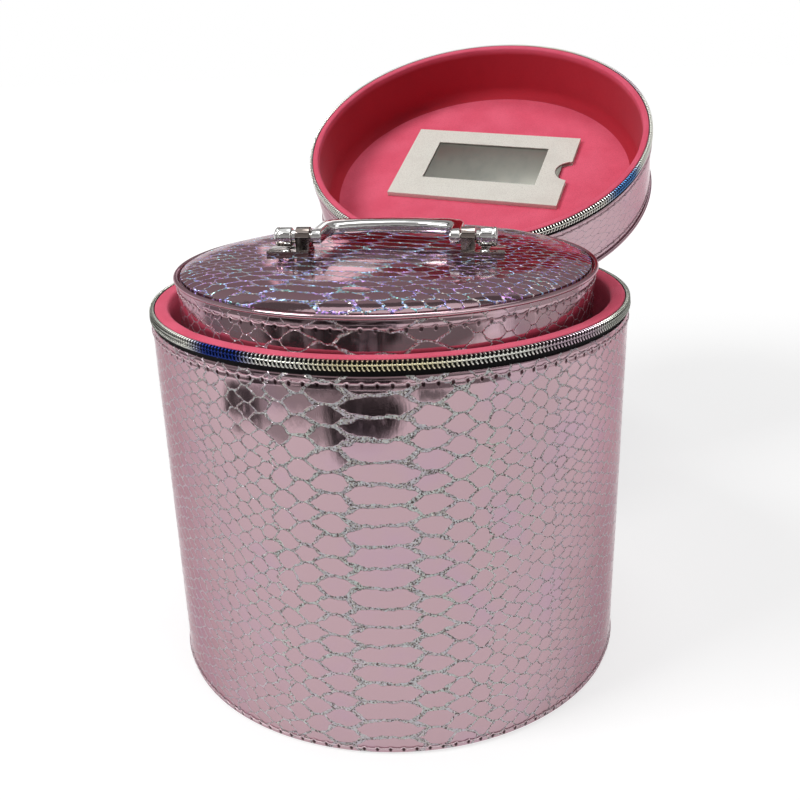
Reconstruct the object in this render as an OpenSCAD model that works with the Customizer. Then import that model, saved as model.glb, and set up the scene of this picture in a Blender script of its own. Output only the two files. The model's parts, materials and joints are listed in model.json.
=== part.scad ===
// Nested pair of round zip cases for make-up: a large drum with its lid folded open
// behind it, and a smaller drum standing inside with its lid zipped shut.
// Millimetres, +Z up, origin at the centre of the large drum's base, hinge at the rear (+Y).

/* [Outer case] */
// Outer radius of the large drum's wall
outer_r = 120; // [118:1:124]
// Height of the plane where the large drum and its lid meet
outer_part_z = 194; // [190:1:200]
// Height of the large lid, from the meeting plane to its piping
outer_lid_h = 47; // [46:1:52]
// Angle through which the large lid stands open
lid_open = 151; // [140:1:152]

/* [Inner case] */
// Outer radius of the small drum's wall
inner_r = 103.6; // [102:0.2:103.8]
// Height of the small drum's own meeting plane above its base
inner_part_z = 160; // [150:1:165]
// Height of the small lid, from the meeting plane to its piping
inner_lid_h = 41; // [38:1:44]
// How far forward of the centre the small drum stands
inner_forward = 5.2; // [3:0.1:5.4]
// How far the small drum is turned to its left
inner_turn = 8; // [0:1:15]

/* [Walls] */
// Thickness of the glossy cover skin
skin_t = 1; // [0.8:0.1:1.2]
// Thickness of the board in the outer drum's wall
board_t = 3.7; // [3.4:0.1:4]
// Thickness of the velvet lining with its foam
lining_t = 2; // [1.5:0.1:2.2]
// Thickness of a base board or top board
disc_t = 3; // [2:0.5:4]
// Rise of the padded top above the piping
pad_rise = 4.6; // [3:0.1:6]
// Radius of the piping bead
piping_r = 1.3; // [1:0.1:1.5]

/* [Zip] */
// Height of one coil row with its two lines of loops
coil_h = 5.2; // [4.4:0.1:5.6]
// Thickness of the woven tape
tape_t = 0.6; // [0.4:0.1:0.7]
// Half angle of the fabric hinge between the two zip ends
hinge_half = 21; // [19:1:23]
// Length of a slider along the rim
slider_l = 14; // [10:1:16]

/* [Handle] */
// Length over the two end knobs
handle_l = 112; // [108:1:118]
// Distance from the pivot line to the far edge of the grip
handle_reach = 38; // [34:1:42]
// Height of the pivot line above the padded top
pivot_h = 8; // [7.5:0.1:10]
// Angle at which the outer handle hangs, from folded back
outer_hang = 61; // [50:1:70]

/* [Mirror pocket] */
// Width of the mirror sleeve
sleeve_w = 127; // [120:1:132]
// Height of the mirror sleeve
sleeve_h = 81; // [76:1:86]
// Angle by which the sleeve is stitched askew
sleeve_turn = 6; // [0:1:8]
// Thickness of the mirror plate
mirror_t = 1.8; // [1.5:0.1:2]

/* [Hidden] */
$fn = 96;

// Heights counted from the meeting plane, the same on both cases and both sides of it.
coil_gap = 0.4;
coil_top = coil_gap + coil_h;
skin_edge = 8;
tape_end = 18;
board_edge = 2;
board_step = 9;
rim_gap = 0.5;
// Radii counted inwards from the wall's outer face.
tape_out = skin_t;
tape_in = skin_t + tape_t;
rim_out = 3;
rim_core = 3.8;
board_in = skin_t + board_t;
lining_in = board_in + lining_t;
coil_proud = 1;
// Lid linings are a little thinner, so that a lid clears what stands in the drum.
lid_lining_t = 1.3;
cove = 7;
ceiling_t = 2;
// Layers of a base, from the underside.
base_skin = 1;
floor_z = base_skin + disc_t + 3;
skin_foot = 0.5;
// Padded top: flat where the handle sits, falling away to the piping.
flat_r = 62;
cover_t = 1.4;
dome_steps = 8;
// Where the two zips end and their sliders rest, from the middle of the hinge.
coil_end = hinge_half + 1.6;
stop_arc = 1.2;
slider_rest = hinge_half + 5;
inner_park = 52;
// Slider profile, radii outwards from the wall's outer face.
plate_t = 0.8;
plate_low = coil_top + 0.8;
plate_high = 3.2;
bail_r = 0.5;
eye_r = 1.05;
bail_span = 11;
outer_play = 0.55;
inner_play = 0.2;
outer_pull_l = 24;
inner_pull_l = 18;
// Half angle of a slider on the inner rim, with the gap between the two parked ones.
slider_half = asin(slider_l/2/inner_r) + 0.1;
// Handle, from the middle outwards along the pivot line.
knob_l = 10.5;
knob_r = 4.8;
lug_w = 6.8;
lug_r = 5;
pin_r = 2;
pin_play = 0.06;
pin_set = 1.2;
arm_w = 5.6;
grip_t = 7;
bar_w = 11;
foot_t = 1.8;
foot_w = 21.5;
foot_d = 15;
rivet_r = 1.5;
rivet_head = 2.6;
knob_in = handle_l/2 - knob_l;
lug_in = knob_in - 0.5 - lug_w;
arm_in = lug_in - 0.3 - arm_w;
rivet_x = knob_in + 4.5;
rivet_y = 4.8;
rivet_depth = cover_t + pad_rise + disc_t;
// Neck and fine ring of an end knob.
neck_r = 3.4;
neck_l = 1.8;
ring_at = 7.9;
ring_d = 0.4;
// Grip: rounded shoulders, an arched finger opening and two shallow waists.
shoulder_r = 15;
arch_rise = 8;
waist_x = 19;
waist_r = 14;
waist_d = 1.6;
// Mirror pocket.
sleeve_t = 3.4;
pocket_t = 2.2;
pocket_w = 118;
pocket_h = 64;
mirror_w = 110;
mirror_h = 62;
window_w = 85.5;
window_h = 44.4;
window_up = 3;
notch_r = 11;
sleeve_y = -14;

pink = [0.78, 0.62, 0.67];
velvet = [0.85, 0.22, 0.34];
black = [0.06, 0.06, 0.07];
silver = [0.72, 0.72, 0.74];
grey_board = [0.55, 0.52, 0.48];
ivory = [0.86, 0.83, 0.79];

// ---- Placement ----

module in_outer_lid() {
  translate([0, outer_r - 0.4, outer_part_z])
    rotate([-lid_open, 0, 0])
      translate([0, 0.4 - outer_r, 0])
        children();
}

module in_inner_case() {
  translate([0, -inner_forward, floor_z])
    rotate([0, 0, inner_turn])
      children();
}

module at_inner_lid() {
  in_inner_case()
    translate([0, 0, inner_part_z])
      children();
}

// ---- Revolved pieces ----

// A ring swept from the right-hand zip end, round the front, to the left-hand one.
module zip_sweep(half) {
  rotate([0, 0, 90 + half])
    rotate_extrude(angle = 360 - 2*half)
      children();
}

// The short sector at the rear between the two zip ends.
module hinge_sweep(half) {
  rotate([0, 0, 90 - half])
    rotate_extrude(angle = 2*half)
      children();
}

module tube(r_in, r_out, z0, z1) {
  rotate_extrude()
    translate([r_in, z0])
      square([r_out - r_in, z1 - z0]);
}

module disc(r, z0, z1) {
  translate([0, 0, z0])
    cylinder(r = r, h = z1 - z0);
}

// ---- Drum and lid walls ----

// Stepped board: full thickness, a rebate for the tape, then the narrow rim core.
module wall_board(r, z_far) {
  rotate_extrude()
    polygon([
      [r - board_in, -z_far],
      [r - tape_out, -z_far],
      [r - tape_out, -tape_end],
      [r - tape_in, -tape_end],
      [r - tape_in, -board_step],
      [r - rim_core, -board_step],
      [r - rim_core, -board_edge],
      [r - board_in, -board_edge]]);
}

// Cover skin with a rolled edge below the zip.
module wall_cover(r, z_far) {
  rotate_extrude()
    polygon([
      [r - skin_t, -z_far],
      [r, -z_far],
      [r, -skin_edge - 0.4],
      [r - 0.3, -skin_edge],
      [r - skin_t, -skin_edge]]);
}

// Velvet that covers the inside and rolls over the rim core to the zip channel.
module wall_lining(r, z_far, thick, round_end) {
  r_in = r - board_in - thick;
  core = [r - board_in, r - rim_core];
  rotate_extrude()
    polygon(concat(
      [[core[0], -z_far],
       [core[0], -board_edge],
       [core[1], -board_edge],
       [core[1], -board_step],
       [r - rim_out, -board_step],
       [r - rim_out, -rim_gap - 0.7],
       [r - rim_out - 0.5, -rim_gap],
       [r_in + 0.8, -rim_gap],
       [r_in, -rim_gap - 0.8]],
      [for (i = [0:4])
        let (a = i*90/4)
        [r_in - round_end*(1 - cos(a)), -z_far + round_end*(1 - sin(a))]]));
}

module tape(r) {
  zip_sweep(hinge_half + 0.2)
    translate([r - tape_in, -tape_end])
      square([tape_t, tape_end - coil_gap - 0.8]);
}

// One coil row: two lines of loops either side of the sewn groove.
module coil_profile(r) {
  loop = coil_h/2;
  for (k = [0, 1])
    translate([r - tape_out, -coil_top + k*loop])
      polygon([
        [0, 0.1],
        [1.3, 0.1],
        [tape_out + coil_proud, 0.6],
        [tape_out + coil_proud, loop - 0.6],
        [1.3, loop - 0.1],
        [0, loop - 0.1]]);
  translate([r - tape_out, -coil_top + 0.1])
    square([1.1, coil_h - 0.2]);
}

module coil(r) {
  zip_sweep(coil_end)
    coil_profile(r);
  for (s = [-1, 1])
    rotate([0, 0, 90 + s*(coil_end - 0.1 - stop_arc/2) - stop_arc/2])
      rotate_extrude(angle = stop_arc)
        translate([r - tape_out, -coil_top])
          square([tape_out + coil_proud + 0.15, coil_h]);
}

module hinge_strip(r) {
  hinge_sweep(hinge_half)
    translate([r - tape_in, -tape_end])
      square([tape_t, tape_end - 0.3]);
}

// ---- Base ----

module base_board(r) {
  disc(r - board_in, base_skin, base_skin + disc_t);
}

module base_cover(r) {
  disc(r - skin_t, 0, base_skin);
}

module floor_lining(r) {
  disc(r - board_in, base_skin + disc_t, floor_z);
}

// ---- Lid top ----

// Half profile of the padded top: flat middle, then a curve down to the piping.
function dome_curve(r, z0, rise) =
  [for (i = [0:dome_steps])
    let (t = i/dome_steps)
    [flat_r + (r - flat_r)*t, z0 + rise*(1 - pow(t, 2.6))]];

module handle_holes(z0, z1) {
  for (sx = [-1, 1], sy = [-1, 1])
    translate([sx*rivet_x, sy*rivet_y, z0])
      cylinder(r = rivet_r, h = z1 - z0, $fn = 32);
}

module lid_ceiling(r, h) {
  disc(r - board_in, h - disc_t - ceiling_t - 1, h - disc_t - 1);
}

module lid_top_board(r, h) {
  difference() {
    disc(r - board_in, h - disc_t - 1, h - 1);
    handle_holes(h - disc_t - 2, h);
  }
}

module lid_pad(r, h) {
  difference() {
    rotate_extrude()
      polygon(concat(
        [[0, h - 1], [0, h - 1 + pad_rise]],
        dome_curve(r - 3, h, pad_rise - 1),
        [[r - 3, h - 1]]));
    handle_holes(h - 2, h + pad_rise);
  }
}

module lid_top_cover(r, h) {
  difference() {
    rotate_extrude()
      polygon(concat(
        [[0, h - 1 + pad_rise], [0, h - 1 + pad_rise + cover_t]],
        dome_curve(r - 1.8, h + cover_t, pad_rise - 1),
        [[r - 1.8, h - 1]],
        [[r - 3, h - 1]],
        [for (i = [dome_steps:-1:0]) dome_curve(r - 3, h, pad_rise - 1)[i]]));
    handle_holes(h, h + pad_rise + 2);
  }
}

// Round bead sewn between the top cover and the wall cover.
module piping(r, h) {
  rotate_extrude()
    union() {
      translate([r + 0.8, h])
        circle(r = piping_r, $fn = 32);
      translate([r - 1.8, h - 1])
        square([2.2, 0.8]);
    }
}

// ---- Zip slider and pull ----

// Slider body: two curved plates joined by a thin wedge that runs between the rows.
module slider(r, play) {
  half = asin(slider_l/2/r);
  inner_face = r - tape_in - 0.15;
  outer_face = r + coil_proud + play;
  rotate([0, 0, -half]) {
    rotate_extrude(angle = 2*half) {
      translate([outer_face, -plate_low])
        square([plate_t, plate_low + plate_high]);
      translate([r - tape_out + 0.15, -plate_low])
        square([outer_face - r + tape_out, 0.6]);
      translate([inner_face - 1.1, -plate_low])
        square([1.1, plate_low + 0.3]);
    }
    rotate_extrude(angle = half*0.7)
      translate([inner_face - 1, -0.3])
        square([outer_face - inner_face + 1.4, 0.6]);
  }
  bail_x = outer_face + plate_t + 0.1 + eye_r;
  translate([bail_x, -bail_span/2, 0])
    rotate([-90, 0, 0])
      cylinder(r = bail_r, h = bail_span, $fn = 32);
  for (s = [-1, 1])
    translate([outer_face + plate_t/2, s*(bail_span/2 - 0.5) - 0.5, -0.7])
      cube([bail_x - outer_face - plate_t/2 + bail_r, 1, 1.4]);
}

// Pull tab: an eye round the bail and a long plate with a finger hole.
module pull_tab(r, play, length) {
  bail_x = r + coil_proud + play + plate_t + 0.1 + eye_r;
  translate([bail_x, 0, 0])
    difference() {
      union() {
        translate([0, -2.2, 0])
          rotate([-90, 0, 0])
            cylinder(r = eye_r, h = 4.4, $fn = 32);
        translate([-0.45, -2.2, -6])
          cube([0.9, 4.4, 6]);
        rotate([90, 0, 90])
          translate([0, 0, -0.45])
            linear_extrude(0.9)
              difference() {
                union() {
                  translate([-3.4, 4 - length])
                    square([6.8, length - 8]);
                  translate([0, -4])
                    circle(r = 3.4, $fn = 48);
                  translate([0, 4 - length])
                    circle(r = 3.4, $fn = 48);
                }
                translate([0, 5 - length])
                  circle(r = 1.6, $fn = 32);
                translate([-1.2, -length*0.55])
                  square([2.4, length*0.3]);
              }
      }
      translate([0, -3, 0])
        rotate([-90, 0, 0])
          cylinder(r = bail_r + pin_play, h = 6, $fn = 32);
    }
}

// ---- Folding handle ----

module mirror_pair() {
  children();
  mirror([1, 0, 0])
    children();
}

// Foot plate and upright lug of both brackets, drilled for the pivot pins.
module handle_brackets() {
  mirror_pair()
    difference() {
      union() {
        translate([lug_in, -foot_d/2, -pivot_h])
          cube([foot_w, foot_d, foot_t]);
        translate([lug_in, -lug_r, -pivot_h])
          cube([lug_w, 2*lug_r, pivot_h]);
        translate([lug_in, 0, 0])
          rotate([0, 90, 0])
            cylinder(r = lug_r, h = lug_w);
      }
      translate([lug_in - 1, 0, 0])
        rotate([0, 90, 0])
          cylinder(r = pin_r + pin_play, h = lug_w + 2);
      for (sy = [-1, 1])
        translate([rivet_x, sy*rivet_y, -pivot_h - 1])
          cylinder(r = rivet_r, h = foot_t + 2, $fn = 32);
    }
}

// Rivets through the foot plates, the padded top and its board.
module handle_rivets(depth) {
  for (sx = [-1, 1], sy = [-1, 1])
    translate([sx*rivet_x, sy*rivet_y, -pivot_h])
      rotate_extrude($fn = 48)
        polygon([
          [0, -depth],
          [rivet_r, -depth],
          [rivet_r, foot_t],
          [rivet_head, foot_t],
          [rivet_head*0.75, foot_t + 0.8],
          [0, foot_t + 1]]);
}

// Barrel knobs with a fine ring, on pins that run through the lugs into the grip.
module handle_pivots() {
  start = knob_in - arm_in - pin_set;
  mirror_pair()
    translate([arm_in + pin_set, 0, 0])
      rotate([0, 90, 0])
        rotate_extrude()
          polygon([
            [0, 0],
            [pin_r, 0],
            [pin_r, start],
            [neck_r, start],
            [neck_r, start + neck_l],
            [knob_r - 0.6, start + neck_l],
            [knob_r, start + neck_l + 0.6],
            [knob_r, start + ring_at],
            [knob_r - ring_d, start + ring_at + 0.1],
            [knob_r - ring_d, start + ring_at + 0.5],
            [knob_r, start + ring_at + 0.6],
            [knob_r, start + knob_l - 0.8],
            [knob_r - 0.8, start + knob_l],
            [0, start + knob_l]]);
}

// Outline of the grip in its own plane: two arms, broad shoulders and a waisted bar.
module grip_outline() {
  half = arm_in + arm_w;
  near = handle_reach - bar_w;
  arch_r = (arm_in*arm_in + arch_rise*arch_rise)/2/arch_rise;
  difference() {
    union() {
      translate([-half, 0])
        square([2*half, handle_reach - shoulder_r]);
      translate([shoulder_r - half, 0])
        square([2*(half - shoulder_r), handle_reach]);
      for (s = [-1, 1])
        translate([s*(half - shoulder_r), handle_reach - shoulder_r])
          circle(r = shoulder_r);
    }
    intersection() {
      translate([-arm_in, -1])
        square([2*arm_in, near + 1]);
      translate([0, near - arch_r])
        circle(r = arch_r, $fn = 192);
    }
    for (s = [-1, 1])
      translate([s*waist_x, handle_reach + waist_r - waist_d])
        circle(r = waist_r);
  }
}

// Die-cast grip: an even plate whose arms end round the pivot pins.
module handle_grip() {
  difference() {
    union() {
      translate([0, 0, -grip_t/2])
        linear_extrude(grip_t)
          grip_outline();
      mirror_pair()
        translate([arm_in, 0, 0])
          rotate([0, 90, 0])
            cylinder(r = grip_t/2, h = arm_w);
    }
    mirror_pair()
      translate([arm_in + pin_set, 0, 0])
        rotate([0, 90, 0])
          cylinder(r = pin_r, h = arm_w);
  }
}

// ---- Mirror and its sleeve ----

module mirror_frame(h) {
  translate([0, sleeve_y, h - disc_t - ceiling_t - 1])
    rotate([0, 0, sleeve_turn])
      children();
}

// Stitched pocket: open at its right-hand end, with a window and a thumb notch.
module sleeve() {
  difference() {
    translate([-sleeve_w/2, -sleeve_h/2, -sleeve_t])
      cube([sleeve_w, sleeve_h, sleeve_t]);
    translate([sleeve_w/2 - pocket_w, -pocket_h/2, -pocket_t - 0.3])
      cube([pocket_w + 1, pocket_h, pocket_t]);
    translate([-window_w/2, -window_h/2 - window_up, -sleeve_t - 1])
      cube([window_w, window_h, 2]);
    translate([sleeve_w/2 + 1, 0, -sleeve_t - 1])
      cylinder(r = notch_r, h = sleeve_t + 2);
  }
}

module mirror_plate() {
  translate([-mirror_w/2 + 2, -mirror_h/2, -0.5 - mirror_t])
    cube([mirror_w, mirror_h, mirror_t]);
}

// ---- Nodes of the outer case ----

module outer_base_board() { color(grey_board) base_board(outer_r); }
module outer_base_cover() { color(pink) base_cover(outer_r); }

module outer_wall_board() {
  color(grey_board)
    translate([0, 0, outer_part_z])
      wall_board(outer_r, outer_part_z - base_skin);
}

module outer_wall_cover() {
  color(pink)
    translate([0, 0, outer_part_z])
      wall_cover(outer_r, outer_part_z - skin_foot);
}

module outer_wall_lining() {
  color(velvet)
    translate([0, 0, outer_part_z])
      wall_lining(outer_r, outer_part_z - floor_z, lining_t, 0);
}

module outer_floor_lining() { color(velvet) floor_lining(outer_r); }

module outer_lower_tape() {
  color(black)
    translate([0, 0, outer_part_z])
      tape(outer_r);
}

module outer_lower_coil() {
  color(silver)
    translate([0, 0, outer_part_z])
      coil(outer_r);
}

module outer_lower_hinge() {
  color(pink)
    translate([0, 0, outer_part_z])
      hinge_strip(outer_r);
}

// ---- Nodes of the outer lid, drawn shut and folded open together ----

module lid_half() {
  mirror([0, 0, 1])
    children();
}

module outer_lid_wall_board() {
  color(grey_board)
    in_outer_lid()
      lid_half()
        wall_board(outer_r, outer_lid_h - 1);
}

module outer_lid_wall_cover() {
  color(pink)
    in_outer_lid()
      lid_half()
        wall_cover(outer_r, outer_lid_h - 1);
}

module outer_lid_top_board() { color(grey_board) in_outer_lid() lid_top_board(outer_r, outer_lid_h); }
module outer_lid_pad() { color(ivory) in_outer_lid() lid_pad(outer_r, outer_lid_h); }
module outer_lid_top_cover() { color(pink) in_outer_lid() lid_top_cover(outer_r, outer_lid_h); }
module outer_lid_piping() { color(pink) in_outer_lid() piping(outer_r, outer_lid_h); }
module outer_lid_ceiling() { color(velvet) in_outer_lid() lid_ceiling(outer_r, outer_lid_h); }

module outer_lid_wall_lining() {
  color(velvet)
    in_outer_lid()
      lid_half()
        wall_lining(outer_r, outer_lid_h - disc_t - ceiling_t - 1, lid_lining_t, cove);
}

module outer_upper_tape() { color(black) in_outer_lid() lid_half() tape(outer_r); }
module outer_upper_coil() { color(silver) in_outer_lid() lid_half() coil(outer_r); }
module outer_upper_hinge() { color(pink) in_outer_lid() lid_half() hinge_strip(outer_r); }
module mirror_sleeve() { color(ivory) in_outer_lid() mirror_frame(outer_lid_h) sleeve(); }
module mirror_card() { color(silver) in_outer_lid() mirror_frame(outer_lid_h) mirror_plate(); }

module on_outer_top() {
  in_outer_lid()
    translate([0, 0, outer_lid_h - 1 + pad_rise + cover_t + pivot_h])
      children();
}

module outer_handle_brackets() { color(silver) on_outer_top() handle_brackets(); }
module outer_handle_rivets() { color(silver) on_outer_top() handle_rivets(rivet_depth); }

module outer_handle_pivots() {
  color(silver)
    on_outer_top()
      rotate([outer_hang, 0, 0])
        handle_pivots();
}

module outer_handle_grip() {
  color(silver)
    on_outer_top()
      rotate([outer_hang, 0, 0])
        handle_grip();
}

// ---- Outer zip sliders, parked at the two ends of the hinge ----

module on_outer_rim(angle) {
  translate([0, 0, outer_part_z])
    rotate([0, 0, angle])
      children();
}

module outer_slider_right() { color(silver) on_outer_rim(90 - slider_rest) slider(outer_r, outer_play); }

module outer_slider_left() {
  color(silver)
    on_outer_rim(90 + slider_rest)
      mirror([0, 1, 0])
        slider(outer_r, outer_play);
}

module outer_pull_right() {
  color(silver)
    on_outer_rim(90 - slider_rest)
      pull_tab(outer_r, outer_play, outer_pull_l);
}

module outer_pull_left() {
  color(silver)
    on_outer_rim(90 + slider_rest)
      pull_tab(outer_r, outer_play, outer_pull_l);
}

// ---- Nodes of the inner case ----

module inner_base_board() { color(grey_board) in_inner_case() base_board(inner_r); }
module inner_base_cover() { color(pink) in_inner_case() base_cover(inner_r); }

module inner_wall_board() {
  color(grey_board)
    at_inner_lid()
      wall_board(inner_r, inner_part_z - base_skin);
}

module inner_wall_cover() {
  color(pink)
    at_inner_lid()
      wall_cover(inner_r, inner_part_z - skin_foot);
}

module inner_wall_lining() {
  color(velvet)
    at_inner_lid()
      wall_lining(inner_r, inner_part_z - floor_z, lining_t, 0);
}

module inner_floor_lining() { color(velvet) in_inner_case() floor_lining(inner_r); }
module inner_lower_tape() { color(black) at_inner_lid() tape(inner_r); }
module inner_lower_coil() { color(silver) at_inner_lid() coil(inner_r); }
module inner_lower_hinge() { color(pink) at_inner_lid() hinge_strip(inner_r); }

module inner_lid_wall_board() {
  color(grey_board)
    at_inner_lid()
      lid_half()
        wall_board(inner_r, inner_lid_h - 1);
}

module inner_lid_wall_cover() {
  color(pink)
    at_inner_lid()
      lid_half()
        wall_cover(inner_r, inner_lid_h - 1);
}

module inner_lid_top_board() { color(grey_board) at_inner_lid() lid_top_board(inner_r, inner_lid_h); }
module inner_lid_pad() { color(ivory) at_inner_lid() lid_pad(inner_r, inner_lid_h); }
module inner_lid_top_cover() { color(pink) at_inner_lid() lid_top_cover(inner_r, inner_lid_h); }
module inner_lid_piping() { color(pink) at_inner_lid() piping(inner_r, inner_lid_h); }
module inner_lid_ceiling() { color(velvet) at_inner_lid() lid_ceiling(inner_r, inner_lid_h); }

module inner_lid_wall_lining() {
  color(velvet)
    at_inner_lid()
      lid_half()
        wall_lining(inner_r, inner_lid_h - disc_t - ceiling_t - 1, lid_lining_t, cove);
}

module inner_upper_tape() { color(black) at_inner_lid() lid_half() tape(inner_r); }
module inner_upper_coil() { color(silver) at_inner_lid() lid_half() coil(inner_r); }
module inner_upper_hinge() { color(pink) at_inner_lid() lid_half() hinge_strip(inner_r); }

module on_inner_top() {
  at_inner_lid()
    translate([0, 0, inner_lid_h - 1 + pad_rise + cover_t + pivot_h])
      children();
}

module inner_handle_brackets() { color(silver) on_inner_top() handle_brackets(); }
module inner_handle_rivets() { color(silver) on_inner_top() handle_rivets(rivet_depth); }
module inner_handle_pivots() { color(silver) on_inner_top() handle_pivots(); }
module inner_handle_grip() { color(silver) on_inner_top() handle_grip(); }

// ---- Inner zip sliders, closed together at the rear right ----

module on_inner_rim(angle) {
  at_inner_lid()
    rotate([0, 0, angle])
      children();
}

module inner_slider_rear() {
  color(silver)
    on_inner_rim(90 - inner_park + slider_half)
      slider(inner_r, inner_play);
}

module inner_slider_front() {
  color(silver)
    on_inner_rim(90 - inner_park - slider_half)
      mirror([0, 1, 0])
        slider(inner_r, inner_play);
}

module inner_pull_rear() {
  color(silver)
    on_inner_rim(90 - inner_park + slider_half)
      pull_tab(inner_r, inner_play, inner_pull_l);
}

module inner_pull_front() {
  color(silver)
    on_inner_rim(90 - inner_park - slider_half)
      pull_tab(inner_r, inner_play, inner_pull_l);
}

outer_base_board();
outer_base_cover();
outer_wall_board();
outer_wall_cover();
outer_wall_lining();
outer_floor_lining();
outer_lower_tape();
outer_lower_coil();
outer_lower_hinge();
outer_lid_wall_board();
outer_lid_wall_cover();
outer_lid_top_board();
outer_lid_pad();
outer_lid_top_cover();
outer_lid_piping();
outer_lid_wall_lining();
outer_lid_ceiling();
outer_upper_tape();
outer_upper_coil();
outer_upper_hinge();
mirror_sleeve();
mirror_card();  // mirror
outer_handle_brackets();
outer_handle_rivets();
outer_handle_pivots();
outer_handle_grip();
outer_slider_right();
outer_slider_left();
outer_pull_right();
outer_pull_left();
inner_base_board();
inner_base_cover();
inner_wall_board();
inner_wall_cover();
inner_wall_lining();
inner_floor_lining();
inner_lower_tape();
inner_lower_coil();
inner_lower_hinge();
inner_lid_wall_board();
inner_lid_wall_cover();
inner_lid_top_board();
inner_lid_pad();
inner_lid_top_cover();
inner_lid_piping();
inner_lid_wall_lining();
inner_lid_ceiling();
inner_upper_tape();
inner_upper_coil();
inner_upper_hinge();
inner_handle_brackets();
inner_handle_rivets();
inner_handle_pivots();
inner_handle_grip();
inner_slider_rear();
inner_slider_front();
inner_pull_rear();
inner_pull_front();
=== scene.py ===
"""Nested pair of round zip cases: the finished look of every part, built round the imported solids.

Lengths in the classes are millimetres unless a name says otherwise; meshes are in metres.
"""

import sys
import json
import logging
import math
from collections.abc import Callable, Sequence
from dataclasses import dataclass, field
from enum import Enum

import bmesh
import bpy
from mathutils import Matrix, Vector, noise


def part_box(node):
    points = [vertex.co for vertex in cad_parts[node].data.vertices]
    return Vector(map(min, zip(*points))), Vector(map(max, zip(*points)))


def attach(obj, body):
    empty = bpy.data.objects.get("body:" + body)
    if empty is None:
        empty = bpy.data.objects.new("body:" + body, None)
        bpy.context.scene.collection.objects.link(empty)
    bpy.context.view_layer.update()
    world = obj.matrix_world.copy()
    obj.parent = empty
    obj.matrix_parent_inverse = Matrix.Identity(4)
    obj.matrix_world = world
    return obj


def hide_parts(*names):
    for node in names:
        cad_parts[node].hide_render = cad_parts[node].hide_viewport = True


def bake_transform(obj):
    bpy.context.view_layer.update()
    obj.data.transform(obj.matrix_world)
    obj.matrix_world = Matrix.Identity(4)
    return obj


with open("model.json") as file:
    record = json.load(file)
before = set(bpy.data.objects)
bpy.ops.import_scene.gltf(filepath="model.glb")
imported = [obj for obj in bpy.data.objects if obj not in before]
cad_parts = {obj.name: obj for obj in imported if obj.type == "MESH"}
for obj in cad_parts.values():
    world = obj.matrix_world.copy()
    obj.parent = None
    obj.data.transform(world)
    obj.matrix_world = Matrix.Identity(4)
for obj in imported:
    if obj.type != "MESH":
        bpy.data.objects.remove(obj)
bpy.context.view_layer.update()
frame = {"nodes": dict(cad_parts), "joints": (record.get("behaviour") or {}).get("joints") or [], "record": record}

LOG = logging.getLogger("train_case")
MM = 0.001

# Where the belly line runs down each case, in degrees from +X.
OUTER_BELLY, INNER_BELLY = -76.3, -84.0
# From the meeting plane to each lid's piping, and from there to the handle's pivot line.
OUTER_LID_HEIGHT, INNER_LID_HEIGHT = 47.0, 41.0
PIVOT_RISE = 13.0
# How far the lid's turning line lies inside the wall's outer face.
HINGE_INSET = 0.4
# How far the lining ends below the meeting plane.
RIM_GAP = 0.5
# The length of a stitch.
STITCH = 6.2

Point = tuple[float, float]
Colour = tuple[float, float, float, float]
Value = "bpy.types.NodeSocket | float | tuple"


def tint(red: float, green: float, blue: float) -> Colour:
    """Turns a colour as a painter names it (0 to 255) into the linear colour a shader takes.

    Args:
        red: Red from 0 to 255.
        green: Green from 0 to 255.
        blue: Blue from 0 to 255.

    Returns:
        The linear colour with a full alpha.
    """

    def linear(value: float) -> float:
        share = value / 255
        return share / 12.92 if share < 0.04045 else ((share + 0.055) / 1.055) ** 2.4

    return (linear(red), linear(green), linear(blue), 1.0)


class Half(Enum):
    """Which side of the meeting plane a ring lies on; the value turns its heights."""

    LOWER = -1
    UPPER = 1


class Print(Enum):
    """What is printed on a foil."""

    NONE = "none"
    SCALES = "scales"


# ---------------------------------------------------------------------------
# Node graphs
# ---------------------------------------------------------------------------


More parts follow.
